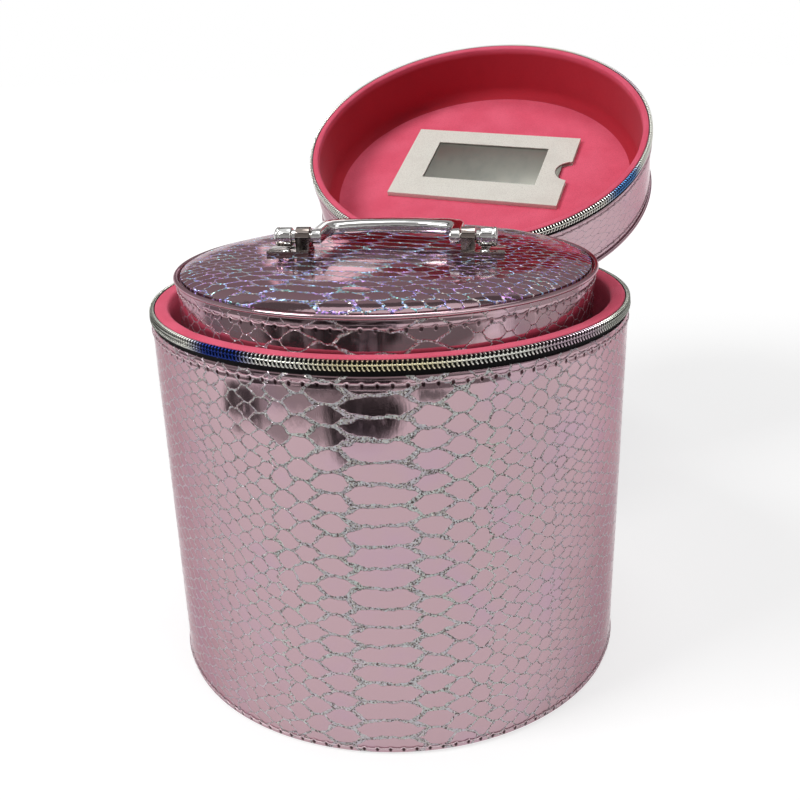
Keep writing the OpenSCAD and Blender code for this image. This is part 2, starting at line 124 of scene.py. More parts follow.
class Graph:
    """A node tree under construction, with short ways to add and join nodes."""

    def __init__(self, owner: bpy.types.Material | bpy.types.World, kind: str = "BSDF_PRINCIPLED") -> None:
        """Starts on the tree of a new material or world.

        Args:
            owner: The material or the world.
            kind: The type of the shader that it comes with.
        """
        owner.use_nodes = True
        self.owner = owner
        self.tree = owner.node_tree
        self.shader = next(n for n in self.tree.nodes if n.type == kind)

    def feed(self, socket: bpy.types.NodeSocket, value: Value) -> None:
        """Links a socket to another one, or gives it a constant."""
        if isinstance(value, bpy.types.NodeSocket):
            self.tree.links.new(value, socket)
        else:
            socket.default_value = value

    def add(self, kind: str, inputs: dict[int | str, Value] | None = None,
            **settings: object) -> bpy.types.Node:
        """Adds a node.

        Args:
            kind: Blender's name of the node type.
            inputs: What goes into its sockets, by number or name.
            **settings: Properties to set on it.

        Returns:
            The new node.
        """
        node = self.tree.nodes.new(kind)
        for key, value in settings.items():
            setattr(node, key, value)
        for key, value in (inputs or {}).items():
            self.feed(node.inputs[key], value)
        return node

    def calc(self, operation: str, *values: Value) -> bpy.types.NodeSocket:
        """Adds a Math node and returns its result."""
        return self.add("ShaderNodeMath", dict(enumerate(values)), operation=operation).outputs[0]

    def vector(self, operation: str, *values: Value) -> bpy.types.NodeSocket:
        """Adds a Vector Math node and returns its vector.

        Args:
            operation: The operation's name.
            *values: Sockets, vectors, or for SCALE a vector and a number.

        Returns:
            The result's socket.
        """
        inputs = dict(zip((0, "Scale"), values)) if operation == "SCALE" else dict(enumerate(values))
        return self.add("ShaderNodeVectorMath", inputs, operation=operation).outputs[0]

    def combine(self, x: Value, y: Value, z: Value) -> bpy.types.NodeSocket:
        """Joins three numbers into a vector."""
        return self.add("ShaderNodeCombineXYZ", {0: x, 1: y, 2: z}).outputs[0]

    def split(self, vector: bpy.types.NodeSocket) -> Sequence[bpy.types.NodeSocket]:
        """Splits a vector into its three numbers."""
        return self.add("ShaderNodeSeparateXYZ", {0: vector}).outputs

    def mix(self, share: Value, first: Value, second: Value) -> bpy.types.NodeSocket:
        """Mixes two colours.

        Args:
            share: How much of the second, from 0 to 1.
            first: The colour at 0.
            second: The colour at 1.

        Returns:
            The mixed colour's socket.
        """
        return self.add("ShaderNodeMix", {0: share, 6: first, 7: second}, data_type="RGBA").outputs[2]

    def blend(self, share: Value, first: Value, second: Value) -> bpy.types.NodeSocket:
        """Mixes two numbers as mix() does colours."""
        return self.add("ShaderNodeMix", {0: share, 2: first, 3: second}, data_type="FLOAT").outputs[0]

    def step(self, value: Value, low: float, high: float) -> bpy.types.NodeSocket:
        """Rises smoothly from 0 at low to 1 at high."""
        return self.add("ShaderNodeMapRange", {0: value, 1: low, 2: high},
                        interpolation_type="SMOOTHSTEP").outputs[0]

    def fall(self, value: Value, low: float, high: float) -> bpy.types.NodeSocket:
        """Falls smoothly from 1 at low to 0 at high."""
        return self.calc("SUBTRACT", 1.0, self.step(value, low, high))

    def reach(self, across: Value, up: Value, power: float = 2.0) -> bpy.types.NodeSocket:
        """The root of the sum of two numbers' powers; with the usual power, their distance from zero."""
        return self.calc("SQRT", self.calc("ADD", self.calc("POWER", across, power),
                                           self.calc("POWER", up, power)))

    def swing(self, colour: bpy.types.NodeSocket, amount: Value) -> bpy.types.NodeSocket:
        """Turns a random colour into a vector that points to any side."""
        return self.vector("SCALE", self.vector("SUBTRACT", colour, (0.5, 0.5, 0.5)), amount)

    def place(self) -> bpy.types.NodeSocket:
        """The point on the piece, in millimetres, in the piece's own frame."""
        return self.vector("SCALE", self.add("ShaderNodeTexCoord").outputs["Object"], 1 / MM)

    def sheet(self, name: str = "scales") -> bpy.types.NodeSocket:
        """The point on the flat sheet that a piece was cut from, in millimetres."""
        return self.add("ShaderNodeUVMap", uv_map=name).outputs[0]

    def blotches(self, where: bpy.types.NodeSocket, size: float, detail: float) -> bpy.types.Node:
        """Adds soft noise.

        Args:
            where: The point, in millimetres.
            size: The size of a blotch, in millimetres.
            detail: How many finer layers are on it.

        Returns:
            The node, which gives a number and a colour.
        """
        return self.add("ShaderNodeTexNoise", {"Vector": where, "Scale": 1 / size, "Detail": detail})

    def cloud(self, where: bpy.types.NodeSocket, size: float, detail: float = 3.0) -> bpy.types.NodeSocket:
        """The number from 0 to 1 that soft blotches give."""
        return self.blotches(where, size, detail).outputs["Fac"]

    def flakes(self, where: bpy.types.NodeSocket, size: float) -> bpy.types.Node:
        """Voronoi flakes of a given size in millimetres; the node gives their random colours."""
        return self.add("ShaderNodeTexVoronoi", {"Vector": where, "Scale": 1 / size}, feature="F1")

    def bump(self, height: bpy.types.NodeSocket, depth: float) -> None:
        """Gives the shader a relief on top of the ones that it has.

        Args:
            height: The relief from 0 to 1.
            depth: The depth of a full step, in millimetres.
        """
        node = self.add("ShaderNodeBump", {"Distance": depth * MM, "Height": height})
        held = self.shader.inputs["Normal"]
        if held.is_linked:
            self.feed(node.inputs["Normal"], held.links[0].from_socket)
        self.feed(held, node.outputs[0])

    def set(self, **values: Value) -> None:
        """Sets the shader's sockets; base_color stands for Base Color, and so on."""
        for key, value in values.items():
            name = key.replace("_", " ").title().replace("Ior", "IOR")
            self.feed(self.shader.inputs[name], value)


# ---------------------------------------------------------------------------
# Finishes
# ---------------------------------------------------------------------------


@dataclass(frozen=True)
class Finish:
    """What every finish has: a name, and a material made once and shared."""

    name: str

    def draw(self, graph: Graph) -> None:
        """Fills in the graph; each finish has its own."""
        raise NotImplementedError

    def material(self) -> bpy.types.Material:
        """The finish's material, made the first time it is asked for."""
        found = bpy.data.materials.get(self.name)
        if found is None:
            found = bpy.data.materials.new(self.name)
            self.draw(Graph(found))
        return found


@dataclass(frozen=True)
class ScaleFoil(Finish):
    """Mirror-smooth rose foil with scales outlined in glitter, as on a python's belly and sides.

    Attributes:
        pattern: What is printed on it.
        belly: Distance between two belly lines along the sheet.
        stitch_rows: Heights on the sheet at which a needle went through.
        stitch_pitch: Distance between two needle holes.
        rainbow: How strongly the glitter breaks into colours.
        speck: Size of a glitter flake.
        bold: Width of the outlines against the usual one; faint outlines go with faint needle holes.
        gloss: Roughness of the smooth foil.
        sparkle: How far the glitter flakes lean to all sides.
        unrest: How far each scale leans on its own.
        rose: Colour of the smooth foil.
        lean: How far the wall's lower part faces upwards, as a slope.
        columns: Where a new width of scale starts, from the belly line, and the columns per millimetre.
        zones: The height of a scale, and the last column that it goes to.
    """

    pattern: Print = Print.SCALES
    belly: float = 377.0
    stitch_rows: tuple[float, ...] = ()
    stitch_pitch: float = 5.5
    rainbow: float = 0.25
    speck: float = 0.5
    bold: float = 1.0
    gloss: float = 0.07
    sparkle: float = 0.9
    unrest: float = 0.05
    rose: Colour = tint(187, 158, 165)
    lean: float = 0.0
    columns: tuple[Point, ...] = ((0, 1 / 30), (15, 1 / 14), (29, 1 / 10.5), (39.5, 1 / 8), (56, 1 / 6.6))
    zones: tuple[Point, ...] = ((10.0, 3.5), (7.5, 8.5), (5.6, 99.0))

    def _column(self, graph: Graph, across: Value) -> Value:
        """The number of the column at a distance from the belly line; whole numbers are middles."""
        total: Value = 0.0
        before = 0.0
        for start, slope in self.columns:
            past = graph.calc("MAXIMUM", graph.calc("SUBTRACT", across, float(start)), 0.0)
            total = graph.calc("MULTIPLY_ADD", past, slope - before, total)
            before = slope
        return total

    def _lattice(self, graph: Graph, column: Value, row: Value, aspect: Value) -> tuple[Value, ...]:
        """One field of staggered scales.

        Args:
            graph: The graph to draw in.
            column: The column number of the point.
            row: The row number of the point.
            aspect: How much a column counts compared with a row.

        Returns:
            Distance to the scale's outline, the scale's column, distance to its sloping sides, in rows, and
            the scale's level.
        """
        found = []
        for shift in (0, 1):
            half = graph.calc("ROUND", graph.calc("MULTIPLY_ADD", column, 0.5, -shift / 2))
            middle = graph.calc("MULTIPLY_ADD", half, 2.0, float(shift))
            level = graph.calc("ADD", graph.calc("ROUND", graph.calc("SUBTRACT", row, shift / 2)), shift / 2)
            aside = graph.calc("SUBTRACT", column, middle)
            above = graph.calc("ABSOLUTE", graph.calc("SUBTRACT", row, level))
            far = graph.calc("MULTIPLY_ADD", graph.calc("MULTIPLY", aside, aside), aspect,
                             graph.calc("MULTIPLY", above, above))
            found.append((middle, above, far, level))
        (even, above_even, far_even, level_even), (odd, above_odd, far_odd, level_odd) = found
        is_even = graph.calc("LESS_THAN", far_even, far_odd)
        gap = graph.calc("ABSOLUTE", graph.calc("SUBTRACT", far_even, far_odd))
        slope = graph.calc("DIVIDE", gap, graph.calc("MULTIPLY_ADD", aspect, 0.9, 1.1))
        flat = graph.calc("SUBTRACT", 0.5, graph.blend(is_even, above_odd, above_even))
        edge = graph.calc("SMOOTH_MIN", slope, flat, 0.13)
        level = graph.blend(is_even, level_odd, level_even)
        return edge, graph.blend(is_even, odd, even), slope, level

    def _outline(self, graph: Graph, where: bpy.types.NodeSocket) -> tuple[Value, Value, Value]:
        """The glitter outline of all scales.

        Args:
            graph: The graph to draw in.
            where: The point on the sheet, in millimetres.

        Returns:
            The outline from 0 to 1, the distance from the belly line, and a random colour for each scale.
        """
        push = graph.vector("ADD", graph.swing(graph.blotches(where, 14.0, 2.5).outputs["Color"], 5.0),
                            graph.swing(graph.blotches(where, 4.5, 1.0).outputs["Color"], 2.6))
        across, up, _ = graph.split(graph.vector("ADD", where, push))
        wrapped = graph.calc("PINGPONG", across, self.belly / 2)
        column = self._column(graph, wrapped)
        aspect = graph.blend(graph.step(column, 0.3, 1.1), 0.85, 0.45)
        edge: Value = 9.0
        inside: Value = 1.0
        label: Value = 0.0
        for index, (pitch, last) in enumerate(self.zones):
            row = graph.calc("DIVIDE", up, pitch)
            near, cell, slope, level = self._lattice(graph, column, row, aspect)
            near = graph.calc("MULTIPLY", near, pitch)
            edge = near if index == 0 else graph.blend(inside, edge, graph.calc("MINIMUM", near, border))
            own = graph.calc("MULTIPLY_ADD", level, 37.0, graph.calc("ADD", cell, 0.31 * index))
            label = own if index == 0 else graph.blend(inside, label, own)
            is_last = graph.calc("GREATER_THAN", cell, last)
            inside = is_last if index == 0 else graph.calc("MULTIPLY", inside, is_last)
            beyond = graph.calc("GREATER_THAN", column, last + 0.6)
            border = graph.calc("MULTIPLY_ADD", beyond, 9.0, graph.calc("MULTIPLY", slope, pitch))
        width = graph.blend(graph.step(wrapped, 8.0, 60.0), 0.8 * self.bold, 0.34 * self.bold)
        width = graph.calc("MULTIPLY", width, graph.calc("MULTIPLY_ADD", graph.cloud(where, 5.0), 0.9, 0.5))
        rough = graph.calc("MULTIPLY_ADD", graph.cloud(where, 0.6, 1.0), 0.6, -0.3)
        ragged = graph.calc("SUBTRACT", graph.calc("ADD", edge, rough), width)
        line = graph.fall(ragged, -0.16, 0.16)
        random = graph.add("ShaderNodeTexWhiteNoise", noise_dimensions="1D")
        graph.feed(random.inputs["W"], label)
        return line, wrapped, random.outputs["Color"]

    def _needle_holes(self, graph: Graph, where: bpy.types.NodeSocket) -> Value:
        """Dark pricks along the seams, from 0 to 1."""
        across, up, _ = graph.split(where)
        shifted = graph.calc("PINGPONG", across, self.stitch_pitch / 2)
        total: Value = 0.0
        for height in self.stitch_rows:
            rise = graph.calc("ABSOLUTE", graph.calc("SUBTRACT", up, height - 0.6))
            rise = graph.calc("MULTIPLY", rise, 0.6)
            total = graph.calc("MAXIMUM", total, graph.fall(graph.reach(shifted, rise), 0.5, 1.0))
        return total

    def draw(self, graph: Graph) -> None:
        """Draws foil, scales, glitter and needle holes."""
        spot = graph.place()
        shade = graph.cloud(spot, 26.0, 3.0)
        # Violet blotches scattered at random over the foil: a painted violet reflection.
        violet = graph.mix(0.2, self.rose, tint(178, 146, 190))
        rose = graph.mix(graph.step(shade, 0.45, 0.8), self.rose, violet)
        graph.set(base_color=rose, metallic=0.94, roughness=self.gloss, coat_weight=0.3, coat_roughness=0.04,
                  specular_tint=tint(196, 160, 170))
        if self.pattern is Print.NONE:
            graph.bump(graph.cloud(spot, 3.0, 4.0), 0.03)
            return
        where = graph.sheet()
        fine = graph.flakes(spot, self.speck).outputs["Color"]
        tone, _, chance = graph.split(fine)
        line, wrapped, own = self._outline(graph, where)
        light = graph.mix(graph.step(wrapped, 50.0, 110.0), tint(212, 208, 201), tint(200, 186, 186))
        deep = graph.mix(graph.step(wrapped, 50.0, 110.0), tint(92, 77, 78), tint(150, 132, 134))
        grey = graph.mix(graph.step(tone, 0.12, 0.42), deep, light)
        drift = graph.calc("MULTIPLY_ADD", graph.cloud(spot, 13.0, 1.0), 0.6, 0.13)
        hue = graph.add("ShaderNodeHueSaturation", {"Hue": graph.calc("MULTIPLY_ADD", chance, 0.16, drift),
                                                    "Saturation": 0.85, "Color": tint(116, 150, 255)})
        rare = graph.calc("MULTIPLY", graph.calc("GREATER_THAN", tone, 0.5), self.rainbow)
        grit = graph.mix(rare, grey, hue.outputs[0])
        colour = graph.mix(line, rose, grit)
        lean = graph.vector("ADD", graph.swing(fine, graph.calc("MULTIPLY", line, self.sparkle)),
                            graph.swing(own, self.unrest))
        if self.lean:
            _, up, _ = graph.split(where)
            tilt = graph.calc("MULTIPLY", graph.fall(up, 27.0, 36.0), self.lean)
            lean = graph.vector("ADD", lean, graph.combine(0.0, 0.0, tilt))
        straight = graph.add("ShaderNodeNewGeometry").outputs["Normal"]
        graph.set(normal=graph.vector("NORMALIZE", graph.vector("ADD", straight, lean)))
        relief = graph.calc("MULTIPLY_ADD", line, -0.6, graph.calc("MULTIPLY", shade, 0.5))
        if self.stitch_rows:
            holes = graph.calc("MULTIPLY", self._needle_holes(graph, where), min(1.0, self.bold * 1.6))
            colour = graph.mix(holes, colour, tint(58, 30, 36))
            relief = graph.calc("SUBTRACT", relief, holes)
        graph.set(base_color=colour, metallic=graph.blend(line, 0.94, 0.6),
                  roughness=graph.blend(line, self.gloss, 0.3))
        graph.bump(relief, 0.12)
        graph.bump(graph.cloud(graph.vector("MULTIPLY", where, (1.0, 0.22, 1.0)), 2.4, 4.0), 0.035)


@dataclass(frozen=True)
class Velvet(Finish):
    """Short-pile lining with a soft sheen and a brushed nap.

    Attributes:
        colour: Its colour where the nap is light.
        shade: Its colour where the nap is dark.
        wall_shade: Its colour above the turn: painted shade on the wall.
        turn: The height on the sheet above which the wall is painted in shade; 0 for nowhere.
    """

    colour: Colour = tint(238, 104, 130)
    shade: Colour = tint(230, 92, 118)
    wall_shade: Colour = tint(190, 46, 61)
    turn: float = 0.0

    def draw(self, graph: Graph) -> None:
        """Draws pile, nap, sheen and the wall's painted shade."""
        spot = graph.place()
        nap = graph.cloud(spot, 22.0, 4.0)
        pile = graph.cloud(spot, 0.5, 2.0)
        colour = graph.mix(graph.step(nap, 0.3, 0.7), self.colour, self.shade)
        if self.turn:
            _, up, _ = graph.split(graph.sheet())
            # Painted shade: above the turn the wall is painted darker.
            colour = graph.mix(graph.step(up, self.turn * 0.6, self.turn * 1.6), colour, self.wall_shade)
        colour = graph.mix(graph.step(pile, 0.2, 0.62), graph.mix(0.35, colour, tint(150, 20, 45)), colour)
        graph.set(base_color=colour, roughness=0.92, specular_ior_level=0.2, sheen_weight=0.35,
                  sheen_roughness=0.45, sheen_tint=tint(255, 170, 190))
        graph.bump(pile, 0.16)
        graph.bump(graph.cloud(spot, 3.2, 2.0), 0.12)


@dataclass(frozen=True)
class WovenTape(Finish):
    """Dense zip tape with its herringbone weave."""

    colour: Colour = tint(6, 5, 7)
    light: Colour = tint(24, 21, 24)

    def draw(self, graph: Graph) -> None:
        """Draws the weave on the piece's own sheet."""
        across, up, _ = graph.split(graph.sheet())
        turn = graph.calc("PINGPONG", up, 2.4)
        rib = graph.calc("SINE", graph.calc("MULTIPLY", graph.calc("ADD", across, turn), 6.5))
        weft = graph.calc("SINE", graph.calc("MULTIPLY", up, 14.0))
        thread = graph.calc("MULTIPLY_ADD", rib, 0.35, graph.calc("MULTIPLY_ADD", weft, 0.15, 0.5))
        graph.set(base_color=graph.mix(thread, self.colour, self.light), roughness=0.75,
                  specular_ior_level=0.2)
        graph.bump(thread, 0.14)


@dataclass(frozen=True)
class PlatedCoil(Finish):
    """Metallised silver nylon coil with painted reflections placed along it (gold, blue and violet stretches) and
    painted shade towards the rear.

    Attributes:
        blue: Where round the case the painted blue reflection lies, in radians from the belly line.
        tone: The blue of that painted reflection.
        rear_shade: How much greyer it is painted towards the rear, as painted shade.
    """

    blue: float = -0.6
    tone: Colour = tint(34, 58, 140)
    rear_shade: float = 1.0

    def draw(self, graph: Graph) -> None:
        """Draws the plating, with its painted reflections and painted shade placed along the zip, and its wear."""
        spot = graph.place()
        across, _, _ = graph.split(graph.sheet())
        silver, gold = tint(228, 228, 220), tint(226, 214, 164)
        around = graph.calc("MULTIPLY", across, 1 / 120)

        def near(middle: float, width: float) -> Value:
            far = graph.calc("ABSOLUTE", graph.calc("SUBTRACT", around, middle))
            return graph.fall(far, width * 0.35, width)

        # Painted reflection: gold near the belly line.
        colour = graph.mix(graph.calc("MULTIPLY", near(0.02, 0.34), 0.7), silver, gold)
        # Painted shade: greyer towards the rear ends.
        ends = graph.calc("MULTIPLY", graph.step(graph.calc("ABSOLUTE", around), 0.75, 1.1), self.rear_shade)
        colour = graph.mix(ends, colour, tint(142, 144, 136))
        # Painted reflections: a blue stretch, and a violet one further round.
        colour = graph.mix(near(self.blue, 0.2), colour, self.tone)
        colour = graph.mix(graph.calc("MULTIPLY", near(0.76, 0.24), 0.6), colour, tint(160, 112, 150))
        wear = graph.cloud(spot, 1.6, 3.0)
        colour = graph.mix(graph.step(wear, 0.62, 0.85), colour, tint(120, 116, 112))
        graph.set(base_color=colour, metallic=0.96, roughness=graph.calc("MULTIPLY_ADD", wear, 0.16, 0.12))
        graph.bump(graph.cloud(spot, 0.5, 2.0), 0.02)


@dataclass(frozen=True)
class Chrome(Finish):
    """Bright plated die-casting with the faintest polish marks."""

    colour: Colour = tint(212, 212, 210)
    roughness: float = 0.05

    def draw(self, graph: Graph) -> None:
        """Draws plating with soft unevenness and hairline marks."""
        spot = graph.place()
        marks = graph.cloud(graph.vector("MULTIPLY", spot, (0.3, 2.0, 2.0)), 1.2, 5.0)
        colour = graph.mix(graph.step(marks, 0.5, 0.9), self.colour, tint(176, 176, 182))
        rough = graph.calc("MULTIPLY_ADD", marks, 0.08, self.roughness)
        graph.set(base_color=colour, metallic=1.0, roughness=rough)
        graph.bump(graph.cloud(spot, 2.6, 2.0), 0.03)


@dataclass(frozen=True)
class Leatherette(Finish):
    """Soft pale sheet material with a fine pebbled grain."""

    colour: Colour = tint(228, 227, 218)

    def draw(self, graph: Graph) -> None:
        """Draws the pebble grain and a little handling wear."""
        spot = graph.place()
        pebble = graph.flakes(spot, 0.55)
        soil = graph.cloud(spot, 18.0, 3.0)
        colour = graph.mix(graph.step(soil, 0.45, 0.8), self.colour, tint(218, 215, 206))
        colour = graph.mix(graph.step(pebble.outputs["Distance"], 0.4, 0.8), colour, tint(210, 207, 198))
        graph.set(base_color=colour, roughness=0.62, specular_ior_level=0.35)
        graph.bump(graph.calc("SUBTRACT", 1.0, pebble.outputs["Distance"]), 0.02)


@dataclass(frozen=True)
class MirrorGlass(Finish):
    """Silvered acrylic with a trace of haze."""

    def draw(self, graph: Graph) -> None:
        """Draws the silvering and faint smears."""
        spot = graph.place()
        smear = graph.cloud(graph.vector("MULTIPLY", spot, (1.0, 0.25, 1.0)), 9.0, 4.0)
        colour = graph.mix(graph.step(smear, 0.4, 0.8), tint(124, 124, 116), tint(112, 113, 107))
        graph.set(base_color=colour, metallic=0.6, roughness=graph.calc("MULTIPLY_ADD", smear, 0.1, 0.3))


@dataclass(frozen=True)
class Board(Finish):
    """Grey fibre board."""

    colour: Colour = tint(168, 160, 148)

    def draw(self, graph: Graph) -> None:
        """Draws flecked fibres."""
        spot = graph.place()
        fleck = graph.cloud(graph.vector("MULTIPLY", spot, (1.0, 1.0, 0.2)), 0.8, 5.0)
        graph.set(base_color=graph.mix(graph.step(fleck, 0.3, 0.7), tint(120, 112, 102), self.colour),
                  roughness=0.9)
        graph.bump(fleck, 0.08)


@dataclass(frozen=True)
class Foam(Finish):
    """Open-cell foam sheet."""

    colour: Colour = tint(232, 226, 212)

    def draw(self, graph: Graph) -> None:
        """Draws the open cells, with painted shade in them."""
        cell = graph.flakes(graph.place(), 0.9)
        pore = graph.step(cell.outputs["Distance"], 0.1, 0.55)
        # Painted shade: the pores are darker.
        graph.set(base_color=graph.mix(pore, tint(176, 168, 150), self.colour), roughness=0.95)
        graph.bump(pore, 0.3)


@dataclass(frozen=True)
class Thread(Finish):
    """Twisted sewing thread."""

    colour: Colour = tint(240, 220, 226)

    def draw(self, graph: Graph) -> None:
        """Draws the twist of the plies."""
        spot = graph.place()
        x, y, z = graph.split(spot)
        run = graph.calc("ADD", graph.calc("ADD", x, y), graph.calc("MULTIPLY", z, 1.7))
        ply = graph.calc("MULTIPLY_ADD", graph.calc("SINE", graph.calc("MULTIPLY", run, 9.0)), 0.5, 0.5)
        graph.set(base_color=graph.mix(ply, tint(214, 186, 194), self.colour), metallic=0.55,
                  roughness=0.38, specular_ior_level=0.7)
        graph.bump(ply, 0.08)


VELVET = Velvet("velvet_rose")
# Lid wall lining, painted darker above the rim as shade.
VELVET_SHADED_WALL = Velvet("velvet_rose_against_nap", turn=4.0)
TAPE = WovenTape("tape_black")
COIL = PlatedCoil("coil_plated")
# On the open lid the painted blue reflection sits further round, and there is no painted shade at the rear.
COIL_OPEN_LID = PlatedCoil("coil_plated_open_lid", 1.8, tint(84, 132, 186), 0.0)
CHROME = Chrome("chrome_bright")
CHROME_SHADED = Chrome("chrome_shaded", tint(146, 136, 130))
ZINC = Chrome("zinc_plated", tint(188, 186, 182), 0.2)
SLEEVE = Leatherette("leatherette_ivory")
GLASS = MirrorGlass("mirror_silvered")
BOARD = Board("board_grey")
FOAM = Foam("foam_cream")
ROSE_THREAD = Thread("thread_rose")
PLAIN_FOIL = ScaleFoil("foil_plain", Print.NONE)


# ---------------------------------------------------------------------------
# Mesh helpers
# ---------------------------------------------------------------------------


def body_of_node(node: str) -> str:
    """The body that carries a CAD node."""
    for body, members in frame["record"]["behaviour"]["bodies"].items():
        if node in members:
            return body
    raise KeyError(node)


def joint(name: str) -> dict:
    """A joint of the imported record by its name."""
    return next(j for j in frame["joints"] if j["name"] == name)


def finished(bm: bmesh.types.BMesh, name: str) -> bpy.types.Mesh:
    """Turns a bmesh into a mesh; the bmesh is used up."""
    mesh = bpy.data.meshes.new(name)
    bm.to_mesh(mesh)
    bm.free()
    return mesh


def set_down(name: str, data: bpy.types.ID) -> bpy.types.Object:
    """Puts a mesh, lamp or camera into the scene as an object."""
    obj = bpy.data.objects.new(name, data)
    bpy.context.scene.collection.objects.link(obj)
    return obj


def absorb(bm: bmesh.types.BMesh, other: bmesh.types.BMesh) -> None:
    """Adds a second bmesh to the first; the second is used up."""
    mesh = finished(other, "absorbed")
    bm.from_mesh(mesh)
    bpy.data.meshes.remove(mesh)


def lay(bm: bmesh.types.BMesh, name: str, where: Callable[[Vector], Sequence[float]]) -> None:
    """Lays a mesh on a sheet.

    Args:
        bm: The mesh.
        name: The sheet's name.
        where: Gives the point on the sheet for a point of the mesh.
    """
    layer = bm.loops.layers.uv.new(name)
    for face in bm.faces:
        for loop in face.loops:
            loop[layer].uv = where(loop.vert.co)


def chain(bm: bmesh.types.BMesh, points: Sequence[Point], closed: bool) -> list:
    """Draws a half profile in the XZ plane.

    Args:
        bm: The mesh to draw in.
        points: Radius and height of each corner, in millimetres.
        closed: Whether the last corner joins the first.

    Returns:
        Its vertices and edges.
    """
    verts = [bm.verts.new((r * MM, 0, z * MM)) for r, z in points]
    pairs = list(zip(verts, verts[1:])) + ([(verts[-1], verts[0])] if closed else [])
    return verts + [bm.edges.new(pair) for pair in pairs]


def turned(points: Sequence[Point], start: float = 0.0, sweep: float = 360.0, steps: int = 192,
           closed: bool = True) -> bmesh.types.BMesh:
    """Turns a half profile about the upright axis.

    Args:
        points: Radius and height of each corner, in millimetres.
        start: Where the turn starts, in degrees from +X.
        sweep: How far it goes.
        steps: The number of segments.
        closed: Whether the profile closes on itself; a partial turn then gets end faces.

    Returns:
        The mesh, in metres, with its faces outwards.
    """
    bm = bmesh.new()
    geom = chain(bm, points, closed)
    full = sweep >= 360
    bmesh.ops.rotate(bm, cent=(0, 0, 0), matrix=Matrix.Rotation(math.radians(start), 3, "Z"), verts=bm.verts)
    if closed and not full:
        bmesh.ops.contextual_create(bm, geom=[g for g in geom if isinstance(g, bmesh.types.BMEdge)])
        geom = list(bm.verts) + list(bm.edges) + list(bm.faces)
    bmesh.ops.spin(bm, geom=geom, cent=(0, 0, 0), axis=(0, 0, 1), angle=math.radians(min(sweep, 360)),
                   steps=steps, use_merge=full)
    bmesh.ops.remove_doubles(bm, verts=bm.verts, dist=1e-6)
    bmesh.ops.recalc_face_normals(bm, faces=bm.faces)
    return bm


def rounded(points: Sequence[Point], radii: Sequence[float], steps: int = 4) -> list[Point]:
    """Rounds the corners of a closed outline.

    Args:
        points: The corners in order.
        radii: The radius at each corner; 0 leaves it sharp.
        steps: Segments of a rounding.

    Returns:
        The new outline.
    """
    done: list[Point] = []
    for index, (corner, radius) in enumerate(zip(points, radii)):
        here = Vector(corner)
        back = Vector(points[index - 1]) - here
        onward = Vector(points[(index + 1) % len(points)]) - here
        reach = min(radius, back.length * 0.49, onward.length * 0.49)
        if reach <= 0:
            done.append((here.x, here.y))
            continue
        first, last = here + back.normalized() * reach, here + onward.normalized() * reach
        for i in range(steps + 1):
            t = i / steps
            spot = first * (1 - t) ** 2 + here * 2 * t * (1 - t) + last * t ** 2
            done.append((spot.x, spot.y))
    return done


def divided(points: Sequence[Point], longest: float) -> list[Point]:
    """Adds points so that no side of a closed outline is longer than a length."""
    done: list[Point] = []
    for index, point in enumerate(points):
        onward = points[(index + 1) % len(points)]
        count = max(1, math.ceil(math.dist(point, onward) / longest))
        done += [tuple(a + (b - a) * i / count for a, b in zip(point, onward)) for i in range(count)]
    return done


def wrap_sheet(bm: bmesh.types.BMesh, radius: float, middle: float) -> None:
    """Lays the sheet round a drum: distance along the wall from a belly line, and height.

    Args:
        bm: The mesh, about the upright axis.
        radius: The wall's radius.
        middle: Where the belly line is, in degrees from +X.
    """
    layer = bm.loops.layers.uv.new("scales")
    line = math.radians(middle)
    for face in bm.faces:
        centre = face.calc_center_median()
        base = (math.atan2(centre.y, centre.x) - line + math.pi) % math.tau - math.pi
        for loop in face.loops:
            co = loop.vert.co
            angle = math.atan2(co.y, co.x) - line
            angle = base + (angle - base + math.pi) % math.tau - math.pi
            loop[layer].uv = (angle * radius, co.z / MM)


def flat_sheet(bm: bmesh.types.BMesh, middle: Point, turn: float) -> None:
    """Lays the sheet flat on a lid's top.

    Args:
        bm: The mesh, about the upright axis.
        middle: A point of the belly line.
        turn: The angle of the scales' long side, in degrees.
    """
    spin = Matrix.Rotation(math.radians(-turn), 2)
    lay(bm, "scales", lambda co: spin @ (co.xy / MM - Vector(middle)))


def stations(points: Sequence[Sequence[float]]) -> list[Matrix]:
    """Frames along a line of points, in metres, that a ring can be moved to."""
    spots = [Vector(p) * MM for p in points]
    frames = []
    for index, spot in enumerate(spots):
        ahead = spots[min(index + 1, len(spots) - 1)] - spots[max(index - 1, 0)]
        frames.append(Matrix.Translation(spot) @ ahead.to_track_quat("Z", "Y").to_matrix().to_4x4())
    return frames


def tube(bm: bmesh.types.BMesh, points: Sequence[Sequence[float]], radius: float, sides: int = 6) -> None:
    """Draws a closed round bar along a line.

    Args:
        bm: The mesh to draw in.
        points: The line, in millimetres.
        radius: The bar's radius.
        sides: The number of its sides.
    """
    frames = stations(points)
    ring = bmesh.ops.create_circle(bm, cap_ends=True, radius=radius * MM, segments=sides, matrix=frames[0])
    edges = list({e for v in ring["verts"] for e in v.link_edges})
    for here, onward in zip(frames, frames[1:]):
        grown = bmesh.ops.extrude_edge_only(bm, edges=edges)["geom"]
        verts = {g for g in grown if isinstance(g, bmesh.types.BMVert)}
        edges = [g for g in grown if isinstance(g, bmesh.types.BMEdge) and set(g.verts) <= verts]
        bmesh.ops.transform(bm, matrix=onward @ here.inverted(), verts=list(verts))
    bmesh.ops.contextual_create(bm, geom=edges)


